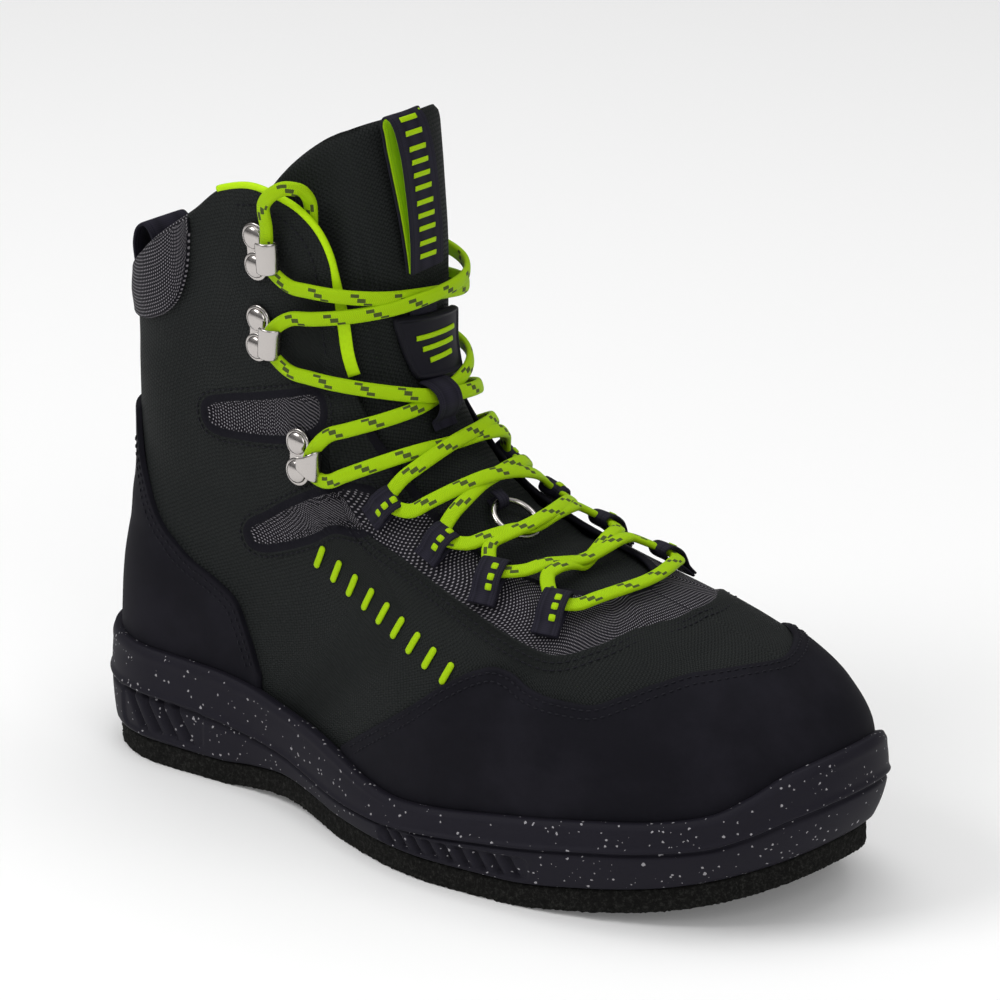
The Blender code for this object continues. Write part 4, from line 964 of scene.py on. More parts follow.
def lace_material():
    """Braided lace with three rows of dark dashes on each face."""
    g = Graph("lace", LIME_COLOR, 0.6)
    around, along, _ = g.parts(g.cloth())
    face = g.math("FRACT", around)
    strand = g.math("FRACT", g.math("MULTIPLY", face, 4.0))
    chevron = g.math("ABSOLUTE", g.math("SUBTRACT", strand, 0.5))
    braid = g.ridges(g.math("MULTIPLY_ADD", chevron, 1.3, along), math.pi / BRAID_PITCH)
    marks = None
    for centre, shift in DASH_ROWS:
        row = g.math("LESS_THAN", g.math("ABSOLUTE", g.math("SUBTRACT", face, centre)), 0.080)
        cycle = g.math("FRACT", g.math("DIVIDE", g.math("ADD", along, shift), DASH_PITCH))
        dash = g.math("MULTIPLY", row, g.math("LESS_THAN", cycle, DASH_SHARE))
        marks = dash if marks is None else g.math("MAXIMUM", marks, dash)
    lime = g.mix(braid, LIME_SHADE, LIME_COLOR)
    g.color(g.mix(g.math("MULTIPLY", marks, 0.92), lime, DASH_COLOR))
    g.bump(braid, 0.12, 0.8)
    return g.material


def plain_material(name, color, roughness, grain=900.0, depth=0.05, metallic=0.0):
    g = Graph(name, color, roughness, metallic)
    rough = g.noise(g.place(), grain, 3.0)
    g.color(g.mix(rough, tuple(c * 0.8 for c in color), color))
    g.bump(rough, depth, 0.6)
    return g.material


def steel_material():
    g = Graph("satin_nickel", STEEL_COLOR, 0.27, 1.0)
    scratches = g.noise(g.place(), 420.0, 5.0, 0.7)
    g.rough(g.blend(scratches, 0.14, 0.28))
    g.bump(scratches, 0.02, 0.3)
    return g.material


CLOTH = cloth_material()
UPPER = upper_material()
NUBUCK = nubuck_material()
MESH = mesh_material()
RUBBER = rubber_material()
FELT = felt_material()
WEBBING = webbing_material()
LACE = lace_material()
LIME = plain_material("lime_thread", LIME_COLOR, 0.6, 1500.0, 0.08)
PIPING = plain_material("piping", PIPING_COLOR, 0.55, 1200.0, 0.06)
LIME_TAPE = webbing_material("lime_tape", LIME_TAPE_COLOR, LIME_TAPE_LIGHT)
THREAD = plain_material("thread", THREAD_COLOR, 0.6, 1500.0, 0.05)
BADGE = plain_material("badge_rubber", BADGE_COLOR, 0.5, 700.0, 0.04)
STEEL = steel_material()


def finish_piece(piece, slot, *nodes):
    """Puts a finished piece on the boot, in the place of the solids that it stands for."""
    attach(piece, "root")
    if nodes:
        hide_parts(*nodes)
    return piece


# Sole

# Section of the felt's edge: height over its underside, and growth of its outline
FELT_PROFILE = ((0.0, -30.0), (0.0, -8.0), (0.0, -1.6), (0.25, -0.5), (0.9, 0.0), (2.4, 0.1),
                (4.0, 0.0), (5.6, 0.1), (7.2, 0.0), (FELT_THICKNESS - 0.5, 0.0),
                (FELT_THICKNESS, -0.6), (FELT_THICKNESS, -12.0))


def make_felt():
    """Felt slab with a fuzzy cut side."""
    turns = both_sides(np.linspace(0, 1, 421))
    rows = []
    chance = np.random.default_rng(4)
    floor = sole_height("floor", felt_outline(turns)[0])
    for up, grow in FELT_PROFILE:
        x, y = felt_outline(turns, grow)
        fuzz = chance.normal(0, 0.16, len(x)) if -1 < grow else 0 * x
        x2, y2 = felt_outline(turns, grow + 1.0)
        z = floor + up
        z = z + (chance.normal(0, 0.10, len(x)) if 0 < up < FELT_THICKNESS - 1 else 0)
        rows.append(np.stack([x + (x2 - x) * fuzz, y + (y2 - y) * fuzz, z], -1))
    piece = surface("felt_sole", np.array(rows), FELT, around=True)
    finish_piece(piece, "felt", "felt_outsole")


# Slanted slots of the midsole's side: count, first and last turn, low and high end as shares
# of the wall, and lean as a turn
SLOTS = (
    (9, 0.508, 0.368, 0.10, 0.42, 0.010),
    (4, 0.858, 0.800, 0.10, 0.50, 0.024),
)
SLOT_DEPTH = 2.3
SLOT_WIDTH = 0.0042
# Recesses that the slots lie in: first and last turn, low and high end as shares of the wall
POCKETS = ((0.355, 0.522, 0.07, 0.46), (0.783, 0.892, 0.07, 0.54))
POCKET_DEPTH = 0.9
GROOVE_DEPTH = 1.5
GROOVE_WIDTH = 0.035


def slot_depth(up, turn):
    """Depth of the slanted slots, in shares of their full depth."""
    depth = np.zeros(np.broadcast(up, turn).shape)
    for count, start, end, low, high, lean in SLOTS:
        for k in range(count):
            centre = start + (end - start) * k / (count - 1)
            share = np.clip((up - low) / (high - low), 0, 1)
            off = (np.abs(turn) - centre - lean * share) / SLOT_WIDTH
            beyond = np.abs(up - (low + high) / 2) - (high - low) / 2
            shape = np.exp(-off ** 2 * 1.4) * (1 - smooth(beyond / 0.045 + 0.5))
            depth = np.maximum(depth, shape)
    return depth


def pocket_depth(up, turn):
    """Depth of the recesses with their round ends, in shares of their full depth."""
    depth = 0.0
    for start, end, low, high in POCKETS:
        middle = (start + end) / 2
        off = np.maximum(np.abs(np.abs(turn) - middle) - (end - start) / 2 + 0.012, 0) / 0.012
        beyond = np.maximum(np.abs(up - (low + high) / 2) - (high - low) / 2 + 0.10, 0) / 0.10
        depth = depth + (1 - smooth((np.hypot(off, beyond) - 0.75) / 0.4))
    return depth


def make_midsole():
    """Cup sole with its parting groove, toe bumper, slots and moulded lip."""
    turns = both_sides(np.linspace(0, 1, 541))
    groove = sole_share("groove", side_wall(0.5, turns)[:, 0])
    rows = []
    x, y = felt_outline(turns, -14.0)
    x_edge, y_edge = felt_outline(turns, 0.2)
    floor = sole_height("floor", x_edge) + FELT_THICKNESS + FIT
    rows.append(np.stack([x, y, floor], -1))
    rows.append(np.stack([x_edge, y_edge, floor], -1))
    for up in np.linspace(0.03, 0.95, 54):
        off = (up - groove) / GROOVE_WIDTH
        lift = -GROOVE_DEPTH * np.exp(-off ** 2 * 1.6) + 0.85 * np.exp(-((off - 1.6) / 1.2) ** 2)
        lift = lift + 0.35 * np.exp(-((up - 0.93) / 0.05) ** 2)
        lift = lift - SLOT_DEPTH * slot_depth(up, turns) - POCKET_DEPTH * pocket_depth(up, turns)
        lift = lift - 0.6 * (1 - smooth(up / 0.06))
        rows.append(side_wall(up, turns, lift))
    rim = level_on_last("rim", turns)
    bed = level_on_last("bed", turns)
    for out, above in ((RIM_WIDTH - 0.15, 0.25), (RIM_WIDTH - 0.7, 0.55), (RIM_WIDTH - 1.6, 0.55),
                       (1.4, 0.30), (0.75, 0.0)):
        point = last(rim, turns) + level_normal(rim, turns) * out
        point[:, 2] += above
        rows.append(point)
    for share in (0.7, 0.0):
        height = bed + (rim - bed) * share
        rows.append(last(height, turns) + level_normal(height, turns) * 0.6)
    piece = surface("midsole_cup", np.array(rows), RUBBER, around=True)
    finish_piece(piece, "midsole_rubber", "midsole")


# Upper

# Outlines of the mesh windows on the outer side: height in millimetres and turn
WINDOWS = (
    ((142.8, 0.639), (146.2, 0.573), (148.9, 0.508), (153.4, 0.415), (157.6, 0.330),
     (145.4, 0.350), (138.6, 0.450), (135.7, 0.540), (134.0, 0.648)),
    ((100.0, 0.692), (106.8, 0.612), (113.3, 0.534), (119.0, 0.459), (124.0, 0.384),
     (125.5, 0.300), (115.0, 0.372), (111.6, 0.405), (111.3, 0.463), (106.3, 0.530),
     (101.2, 0.600), (93.6, 0.704)),
)


def window_outline(index, side, count=420):
    """Heights and turns along a window's edge, its corners cut round."""
    knots = np.array(WINDOWS[index], float)
    for _ in range(3):
        ahead = np.roll(knots, -1, 0)
        knots = np.stack([knots * 0.78 + ahead * 0.22, knots * 0.22 + ahead * 0.78], 1)
        knots = knots.reshape(-1, 2)
    knots = np.concatenate([knots, knots[:1]])
    line = last(knots[:, 0], side * knots[:, 1])
    along = walked(line)
    at = np.linspace(0, along[-1], count)
    return np.interp(at, along, knots[:, 0]), side * np.interp(at, along, knots[:, 1])


def window_distance(points, heights, turns):
    """Distance to the edges of the two mesh windows, below 0 inside them."""
    result = np.full(len(points), 99.0)
    for index in range(len(WINDOWS)):
        for side in (-1, 1):
            edge_h, edge_t = window_outline(index, side)
            picked = np.flatnonzero((np.sign(turns) == side) & (np.abs(turns) < 0.80)
                                    & (np.abs(heights - edge_h.mean()) < 45))
            gap, _ = distance_to(points[picked], last(edge_h, edge_t))
            inside = np.zeros(len(picked), bool)
            h = heights[picked]
            t = turns[picked]
            for k in range(len(edge_h) - 1):
                spans = (edge_t[k] > t) != (edge_t[k + 1] > t)
                slope = (edge_h[k + 1] - edge_h[k]) / (edge_t[k + 1] - edge_t[k] + 1e-12)
                inside ^= spans & (h < edge_h[k] + slope * (t - edge_t[k]))
            result[picked] = np.minimum(result[picked], np.where(inside, -gap, gap))
    return result


# Creases of the upper: side (-1 outer, 1 inner, 0 both), from height and turn, to height and
# turn, depth in millimetres (below 0 for a ridge) and half width
CREASES = (
    (0, 1.22, 0.640, 1.16, 0.480, 1.0, 6.0),
    (0, 1.44, 0.840, 1.47, 0.640, 0.8, 6.5),
    (0, 1.50, 0.560, 1.46, 0.440, 0.6, 5.0),
    (0, 1.64, 0.780, 1.70, 0.600, 0.9, 8.0),
    (0, 1.78, 0.560, 1.66, 0.500, -0.8, 7.0),
    (0, 1.12, 0.860, 1.02, 0.730, 0.9, 8.0),
    (0, 0.86, 0.680, 0.66, 0.600, 0.8, 9.0),
    (0, 0.76, 0.560, 0.60, 0.520, -0.7, 8.0),
    (0, 0.84, 0.330, 0.70, 0.420, 0.8, 8.0),
    (-1, 0.900, 0.020, 0.860, 0.170, 0.9, 6.0),
    (1, 0.890, 0.010, 0.850, 0.150, 0.8, 6.0),
    (0, 0.950, 0.040, 0.905, 0.180, -0.6, 5.0),
)


def crease_lift(points, turns):
    """Soft troughs and ridges of worn cloth."""
    lift = np.zeros(len(points))
    for which, height_a, turn_a, height_b, turn_b, depth, width in CREASES:
        for side in ((-1, 1) if which == 0 else (which,)):
            t = np.linspace(0, 1, 40)
            line = last(rise(height_a + (height_b - height_a) * t),
                        side * (turn_a + (turn_b - turn_a) * t))
            picked = np.flatnonzero(np.sign(turns + 1e-9) * side > -0.5)
            gap, near = distance_to(points[picked], line)
            taper = np.sin(math.pi * np.clip(0.12 + 0.76 * near / 39.0, 0, 1))
            lift[picked] -= depth * np.exp(-(gap / width) ** 2) * taper
    return lift


def upper_grid():
    """Rows of the outer face from the sole to the top edge: height, turn, lift and fields."""
    t = np.linspace(0, 1, 231)
    share_around = both_sides(np.interp(t, (0.0, 0.40, 0.72, 1.0), (0.0, 0.50, 0.74, 1.0)))
    share = np.abs(share_around)
    side = np.where(share_around < 0, -1.0, 1.0)
    rim = level_on_last("rim", share_around)
    fold = rise(edge_at("fold_height", share))
    fold_turn = edge_at("fold_turn", share) * side
    top = rise(edge_at("height", share))
    top_turn = edge_at("turn", share) * side
    step = -BAND_STEP * (1 - smooth((share - BAND_ENDS) / 0.03))
    heights = []
    turns = []
    lifts = []
    for k in np.concatenate([[-0.10], np.linspace(0.0, 0.975, 84), [0.984, 0.992, 0.997, 1.0]]):
        heights.append(rim + (fold - rim) * k)
        turns.append(share_around + (fold_turn - share_around) * np.clip(k, 0, 1))
        lifts.append(-step * 0.45 * np.exp(-((1 - k) / 0.012) ** 2))
    for k in np.concatenate([[0.03, 0.07, 0.11, 0.16], np.linspace(0.22, 1.0, 18)]):
        heights.append(fold + (top - fold) * k)
        turns.append(fold_turn + (top_turn - fold_turn) * k)
        lifts.append(step * smooth(k / 0.09))
    return share_around, np.array(heights), np.array(turns), np.array(lifts)


def make_upper():
    """Hollow shell of the upper with its windows, creases, eyestay step and lining."""
    around, heights, turns, lifts = upper_grid()
    shape = heights.shape
    base = last(heights, turns)
    normal = last_normal(heights, turns)
    flat_points = base.reshape(-1, 3)
    window = window_distance(flat_points, heights.ravel(), turns.ravel()).reshape(shape)
    crease = crease_lift(flat_points, turns.ravel()).reshape(shape)
    fold_row = 88
    from_fold = np.linalg.norm(base - base[fold_row][None], axis=-1)
    band = np.where(np.arange(shape[0])[:, None] > fold_row, from_fold, -from_fold)
    low_part = smooth((rise(1.20) - heights) / 6.0)
    eyestay = np.where((np.abs(around)[None, :] < BAND_ENDS + 0.02) & (band > 0), -band, 99.0)
    mesh_zone = np.minimum(window, np.where(low_part > 0.5, eyestay, 99.0))
    edge = np.linalg.norm(base - base[-1][None], axis=-1)
    edge_field = np.where(np.abs(around)[None, :] < BAND_ENDS + 0.01, edge, 99.0)
    rear_rim = np.repeat(np.abs(turns[-1:]) > 0.63, shape[0], 0)
    recess = -WINDOW_DEPTH * smooth(-window / 1.3) + 0.45 * np.exp(-((window - 1.4) / 1.2) ** 2)
    recess = recess + 0.5 * np.exp(-((edge_field - 1.5) / 1.4) ** 2)
    fade = smooth(edge / 12.0) * smooth((heights - level_on_last("rim", turns)) / 12.0)
    lift = lifts + recess + crease * fade * np.where(band > 0, 0.3, 1.0)
    outside = base + normal * lift[..., None]
    wall = wall_at(heights, turns) + lifts
    rows = [outside]
    half_wall = wall[-1][:, None] / 2
    upward = unit(base[-1] - base[-6]) * np.minimum(half_wall, 1.6)
    middle = outside[-1] - normal[-1] * half_wall
    for angle in np.linspace(math.pi / 2, -math.pi / 2, 9)[1:-1]:
        rows.append((middle + normal[-1] * half_wall * np.sin(angle)
                     + upward * np.cos(angle))[None])
    picked = np.unique(np.linspace(0, shape[0] - 1, 46).astype(int))[::-1]
    inner = base + normal * (lifts - wall)[..., None]
    rows.append(inner[picked])
    grid = np.concatenate(rows)
    extra = grid.shape[0] - shape[0]

    def padded(values, fill):
        return np.concatenate([values, np.full((extra, shape[1]), fill)])

    inside = padded(np.zeros(shape), 1.0)
    inside[shape[0]:shape[0] + 5] = 0.0
    window_field = padded(np.where((edge < 5.0) & rear_rim, -2.0, mesh_zone), 99.0)
    window_field[shape[0]:, rear_rim[-1]] = -2.0
    edge_all = padded(edge_field, 99.0)
    edge_all[shape[0]:shape[0] + 7] = np.where(edge_field[-1] < 50, 0.0, 99.0)
    girth = walked(base[40])
    girth = np.append(girth, girth[-1] + 1.0)
    along = walked(grid)
    along = np.concatenate([along, along[-1:] + 1.0])
    along = np.concatenate([along, along[:, :1]], 1)
    coords = np.stack([np.broadcast_to(girth, along.shape), along], -1)
    piece = surface("upper_shell", grid, UPPER, coords, around=True, through=True,
                    fields={"window": window_field, "edge": edge_all, "inside": inside})
    finish_piece(piece, "upper_cloth", "upper")


def rounded(to_edge, radius):
    """Height of a rounded edge, from 0 at the edge to 1 at a radius from it."""
    return np.sqrt(np.clip(1 - (1 - np.clip(to_edge / radius, 0, 1)) ** 2, 0, 1))


def overlay(name, turns, low, high, finish, start, thickness, rows=26, puff=0.0, crease=0.0):
    """A piece on the upper between two edges, with rounded edges that reach down to it."""
    spread = np.repeat(turns[None, :], rows, 0)
    t = (1 - np.cos(np.linspace(0, math.pi, rows))) / 2
    heights = low[None, :] * (1 - t[:, None]) + high[None, :] * t[:, None]
    base = last(heights, spread)
    normal = last_normal(heights, spread)
    up_mm = walked(base)
    along = walked(base[rows // 2])
    to_edge = np.minimum(np.minimum(up_mm, up_mm[-1] - up_mm),
                         np.minimum(along, along[-1] - along)[None, :] + 0.05)
    corner = rounded(to_edge, 1.1)
    swell = puff * smooth(to_edge / 9.0)
    if crease:
        swell = swell + crease * crease_lift(base.reshape(-1, 3), spread.ravel()).reshape(
            spread.shape) * smooth(to_edge / 5.0)
    outer = base + normal * (0.15 + (start + thickness - 0.15) * corner + swell)[..., None]
    coords = np.stack([np.repeat(along[None, :], rows, 0), up_mm], -1)
    return sheet(name, outer, base + normal * 0.05, finish, coords)


# Lower edge of the collar's mesh, which reaches up to the collar's own edge
COLLAR_MESH = columns("turn low", (
    (0.625, 1.840),
    (0.632, 1.760),
    (0.645, 1.690),
    (0.672, 1.615),
    (0.720, 1.562),
    (0.800, 1.525),
    (0.900, 1.515),
    (1.000, 1.512),
))


def height_along(table, turns, column="height"):
    return rise(curve(table["turn"], table[column], np.abs(turns)))


def round_back(half):
    """Turns round the back, from those between the inner side and the back."""
    turns = np.concatenate([half, 2 - half[-2::-1]])
    return np.where(turns > 1, turns - 2, turns)


def make_overlays():
    """Toe cap, heel counter and the collar's mesh panel."""
    half = np.linspace(0, 0.600, 150)
    turns = np.concatenate([-half[::-1], half[1:]])
    low = level_on_last("rim", turns) - UNDER_RIM
    high = np.maximum(height_along(TOE_CAP_EDGE, turns), low + 1.5)
    cap = overlay("toe_cap_nubuck", turns, low, high, NUBUCK, OVERLAY_FIT, OVERLAY_THICKNESS,
                  rows=44, crease=0.8)
    finish_piece(cap, "nubuck", "toe_cap")
    turns = round_back(np.append(np.linspace(0.724, 0.80, 34), np.linspace(0.802, 1.0, 50)))
    low = level_on_last("rim", turns) - UNDER_RIM
    counter = overlay("heel_counter_nubuck", turns, low, height_along(COUNTER_EDGE, turns), NUBUCK,
                      COUNTER_FIT, OVERLAY_THICKNESS, rows=50, crease=0.5)
    finish_piece(counter, "nubuck", "heel_counter")
    turns = round_back(np.append(np.linspace(0.625, 0.68, 50), np.linspace(0.683, 1.0, 90)))
    low = height_along(COLLAR_MESH, turns, "low")
    rear = EDGE["turn"] > 0.5
    high = rise(curve(EDGE["turn"][rear], EDGE["height"][rear], np.abs(turns))) - 0.3
    panel = overlay("collar_mesh_panel", turns, low, high, MESH, OVERLAY_FIT, OVERLAY_THICKNESS,
                    rows=34, puff=0.7)
    finish_piece(panel, "mesh_cloth", "collar_panel")


# Stitches

# Distances of the two rows of stitches from an edge
OVERLAY_ROWS = (2.2, 5.0)
THROAT_ROWS = (2.4, 5.2)


def stitch_row(path, normals, length=1.9, gap=0.9, width=0.55):
    """Points and faces of a row of stitches along a path."""
    path, normals = resample(path, (length + gap) / 4, normals)
    normals = unit(normals)
    shares = np.array([0.0, 0.25, 0.75, 1.0])
    radius = np.array([0.45, 1.0, 1.0, 0.45]) * width / 2
    sink = np.array([-0.25, 0.12, 0.12, -0.25])
    points = []
    faces = []
    angles = np.arange(6) * math.pi / 3
    for start in range(0, len(path) - 4, 4):
        a = path[start]
        b = path[start] + (path[start + 4] - path[start]) * length / (length + gap)
        along = unit(b - a)
        up = normals[start + 1]
        across = np.cross(along, up)
        faces += tube_faces(len(points) * 6, 4, 6)
        for share, r, s in zip(shares, radius, sink):
            centre = a + (b - a) * share + up * s
            points.append(centre + np.outer(np.cos(angles), across) * r
                          + np.outer(np.sin(angles), up) * r)
    return np.concatenate(points), faces


def stitches(name, lines, finish, slot, **sizes):
    """One piece of several rows of stitches. Each line is heights, turns and a lift."""
    points = []
    faces = []
    count = 0
    for heights, turns, lift in lines:
        more, new_faces = stitch_row(on_last(heights, turns, np.full(len(heights), lift)),
                                     last_normal(heights, turns), **sizes)
        faces += [tuple(k + count for k in face) for face in new_faces]
        points.append(more)
        count += len(more)
    piece = new_object(name, np.concatenate(points), faces, finish)
    finish_piece(piece, slot)


def make_stitches():
    """Double rows beside the edges of the overlays and the throat, one row at the collar."""
    lines = []
    for side in (-1, 1):
        for table, start, end, fit in ((TOE_CAP_EDGE, 0.0, 0.585, OVERLAY_FIT),
                                       (COUNTER_EDGE, 0.728, 0.866, COUNTER_FIT)):
            turns = np.linspace(start, end, 160)
            heights = height_along(table, turns)
            for distance in OVERLAY_ROWS:
                lines.append((*inset(heights, side * turns, distance),
                              fit + OVERLAY_THICKNESS + 0.05))
    stitches("nubuck_stitches", lines, THREAD, "nubuck")
    lines = []
    for side in (-1, 1):
        around = np.linspace(0.0, 0.60, 200)
        heights = rise(edge_at("fold_height", around))
        turns = edge_at("fold_turn", around) * side
        for distance in THROAT_ROWS:
            lines.append((*inset(heights, turns, distance), 0.15))
        around = np.linspace(0.66, 0.80, 120)
        heights = rise(edge_at("height", around))
        turns = edge_at("turn", around) * side
        lines.append((*inset(heights, turns, 5.0), 0.1))
    stitches("cloth_stitches", lines, THREAD, "upper_cloth")


def make_window_stitches():
    lines = []
    for index in range(len(WINDOWS)):
        for side in (-1, 1):
            heights, turns = window_outline(index, side, 240)
            both = [beside(heights, turns, sign * 4.4) for sign in (-1, 1)]
            reach = [np.ptp(place[1]) + np.ptp(place[0]) / 200 for place in both]
            lines.append((*both[int(reach[1] > reach[0])], 0.15))
    stitches("window_stitches", lines, THREAD, "upper_cloth")


# Line of the bars on the outer quarter: height in millimetres and turn
QUARTER_BARS = (
    (97.8, 0.578),
    (93.3, 0.556),
    (84.5, 0.501),
    (75.9, 0.449),
)
BAR_COUNT = 9


def make_quarter_bars():
    """A row of plain embroidered bars on the outer quarter."""
    rows = np.array(QUARTER_BARS)
    t = np.linspace(0, len(rows) - 1, 200)
    k = np.arange(len(rows))
    heights = curve(k, rows[:, 0], t)
    turns = -curve(k, rows[:, 1], t)
    line = last(heights, turns)
    along = walked(line)
    at = np.searchsorted(along, np.linspace(0, along[-1] * 0.999, BAR_COUNT))
    away = square_to(line, -last_normal(heights, turns))
    rings = 15
    sides = 10
    span = np.linspace(-4.3, 4.3, rings)
    angles = np.arange(sides) * 2 * math.pi / sides
    taper = np.sqrt(np.clip(1 - (np.abs(span) / 4.4) ** 10, 0.05, 1))
    points = []
    faces = []
    for k in at:
        faces += tube_faces(len(points) * sides, rings, sides)
        path = line[k] + away[k] * span[:, None]
        hs, ts = settle_all(path, np.full(rings, heights[k]), np.full(rings, turns[k]))
        path = on_last(hs, ts, np.full(rings, 0.45))
        normal = last_normal(hs, ts)
        for p, n, a, s in zip(path, normal, square_to(path, normal), taper):
            points.append(p + np.outer(np.cos(angles), a) * 1.45 * s
                          + np.outer(np.sin(angles), n) * 0.65 * s)
    piece = new_object("quarter_bars", np.concatenate(points), faces, LIME)
    finish_piece(piece, "lace")


# Tongue and insole

def tongue_grid(along, across, depth):
    """Points of the tongue: along from its toe end to its top, across from -1 to 1."""
    at = {name: curve(TONGUE["along"], values, along) for name, values in TONGUE.items()}
    edge = np.where(across < 0, at["out_height"], at["in_height"])
    reach = np.where(across < 0, at["out_turn"], at["in_turn"])
    height = rise(at["centre"] + (edge - at["centre"]) * np.abs(across) ** 2.6)
    turn = across * reach
    free = (smooth((height - rise(1.72)) / (rise(1.90) - rise(1.72)))
            * smooth((np.abs(turn) - 0.20) / 0.10))
    sink = wall_at(height, turn) + TONGUE_FIT + depth + TONGUE_SLACK * free
    return on_last(height, turn, -sink)


# Puckers across the tongue under the lace: place along it, depth and width
PUCKERS = ((0.335, 1.2, 0.016), (0.405, 1.0, 0.014), (0.47, 0.8, 0.014), (0.535, 0.7, 0.014))


def make_tongue():
    """Padded tongue with its puckers and two stitched channels."""
    along, across = np.meshgrid(np.linspace(0, 1, 150), np.linspace(-1, 1, 120), indexing="ij")
    edge = np.minimum((1 - along) * 110, (1 - np.abs(across)) * 34)
    round_off = 1 - rounded(edge, 2.2)
    puckers = 0.0
    for at, depth, width in PUCKERS:
        bend = at + 0.02 * np.cos(across * 3.0)
        puckers = puckers + depth * np.exp(-((along - bend) / width) ** 2)
    channels = 0.7 * np.exp(-((np.abs(across) - 0.52) * 34 / 1.1) ** 2)
    channels = channels * smooth((along - 0.56) / 0.1)
    outer = tongue_grid(along, across,
                        puckers * 1.1 + channels + TONGUE_THICKNESS * 0.5 * round_off)
    inner = tongue_grid(along, across, TONGUE_THICKNESS * (1 - 0.5 * round_off))
    side_mm = walked(outer, 1)
    coords = np.stack([side_mm - side_mm[:, 60:61], walked(outer)], -1)
    piece = sheet("tongue_cloth", outer, inner, CLOTH, coords)
    finish_piece(piece, "upper_cloth", "tongue")


def make_insole():
    """Sock liner, dished up to the upper all round."""
    turns = both_sides(np.linspace(0, 1, 161))
    bed = level_on_last("bed", turns)
    rows = []
    for up, inset in ((0.4, 1.6), (3.0, 1.25), (5.6, 1.3), (6.1, 1.8), (5.9, 2.6), (5.0, 4.0),
                      (4.3, 7.0), (4.0, 12.0), (4.0, 20.0), (4.0, 30.0)):
        height = bed + up
        rows.append(last(height, turns) - level_normal(height, turns) * (UPPER_WALL + inset))
    across = walked(rows[2])
    across = np.append(across, across[-1] + 2.0)
    coords = np.stack(np.meshgrid(across, np.arange(len(rows)) * 3.0), -1)
    piece = surface("insole_cloth", np.array(rows), MESH, coords, around=True)
    finish_piece(piece, "lining", "insole")


# Lace loops and hooks

# Distances of a strap's lime squares from its upper sewn end
MARKS_BACK = (6.4, 10.2, 13.8)


def make_lace_loops():
    """Folded straps with three lime squares woven into each."""
    tunnel = LACE_THICKNESS / 2 + LOOP_CLEAR
    half = STRAP_THICKNESS / 2
    top = 2 * tunnel + 3 * half
    # Share of the way from the fold to the sewn end, and height over the upper
    profile = ((0.84, half), (0.60, half), (0.30, half), (0.04, half), (-0.06, half + 0.5),
               (-0.16, tunnel + 2 * half), (-0.06, top - 0.5), (0.06, top), (0.28, top - 0.4),
               (0.44, 3.6), (0.58, 3 * half + 0.5), (0.70, 3 * half + 0.1), (0.84, 3 * half))
    for side, label in SIDES:
        for index in range(4):
            fold, sewn, sideways = loop_lines(index, side)
            start = last(rise(fold[0]), fold[1])
            span = last(rise(sewn[0]), sewn[1]) - start
            guess = settle(start + span * 0.4, (rise(fold[0]), fold[1]))
            places = [settle(start + span * share, guess) for share, _ in profile]
            centre = np.array([on_last(place[0], place[1], lift + LOOP_SEAT)
                               for place, (_, lift) in zip(places, profile)])
            path = resample(flowing(centre, 120), 0.5)
            ups = square_to(path, -sideways)
            name = "%s_%d" % (label, index + 1)
            strap = sweep("lace_strap_" + name, path, ups, LOOP_WIDTH, STRAP_THICKNESS, WEBBING,
                          sides=18, squareness=5.0)
            finish_piece(strap, "webbing", "lace_loop_" + name)
            points = []
            faces = []
            along = walked(path)
            for back in MARKS_BACK:
                at = int(np.argmin(np.abs(along - (along[-1] - back))))
                tangent = unit(path[at + 1] - path[at - 1])
                up = ups[at] * np.sign(np.dot(ups[at], last_normal(*guess)))
                mid = path[at] + up * (half + 0.05) - sideways * 1.4
                faces += tube_faces(len(points), 2, 8)
                for lift, size in ((-0.3, 1.3), (0.25, 1.15)):
                    for k in range(8):
                        a = k * math.pi / 4
                        far = size * (1.26 if k % 2 else 1.0)
                        points.append(mid + up * lift + tangent * math.cos(a) * far
                                      + sideways * math.sin(a) * far)
            marks = new_object("strap_marks_" + name, points, faces, LIME)
            finish_piece(marks, "lace")


def lathe(frame_of, centre, profile, count=32):
    """Rings of a turned shape in a hook's frame: radius and height of each."""
    angles = np.arange(count) * 2 * math.pi / count
    rings = [np.stack([centre[0] + r * np.cos(angles), centre[1] + r * np.sin(angles),
                       np.full(count, z)], -1) for r, z in profile]
    return np.array([in_frame(frame_of, ring) for ring in rings])


# Curled band of a hook: ahead of the rivets, off the upper, and half width
HOOK_BAND = ((-7.4, 0.35, 2.2), (-5.0, 0.35, 3.4), (-1.0, 0.40, 4.4), (3.0, 0.45, 4.9),
             (6.2, 0.8, 5.2), (7.8, 2.3, 5.5), (7.7, 4.6, 5.75), (6.2, 6.3, 5.75),
             (4.0, 6.8, 5.75), (1.6, 6.2, 5.6))


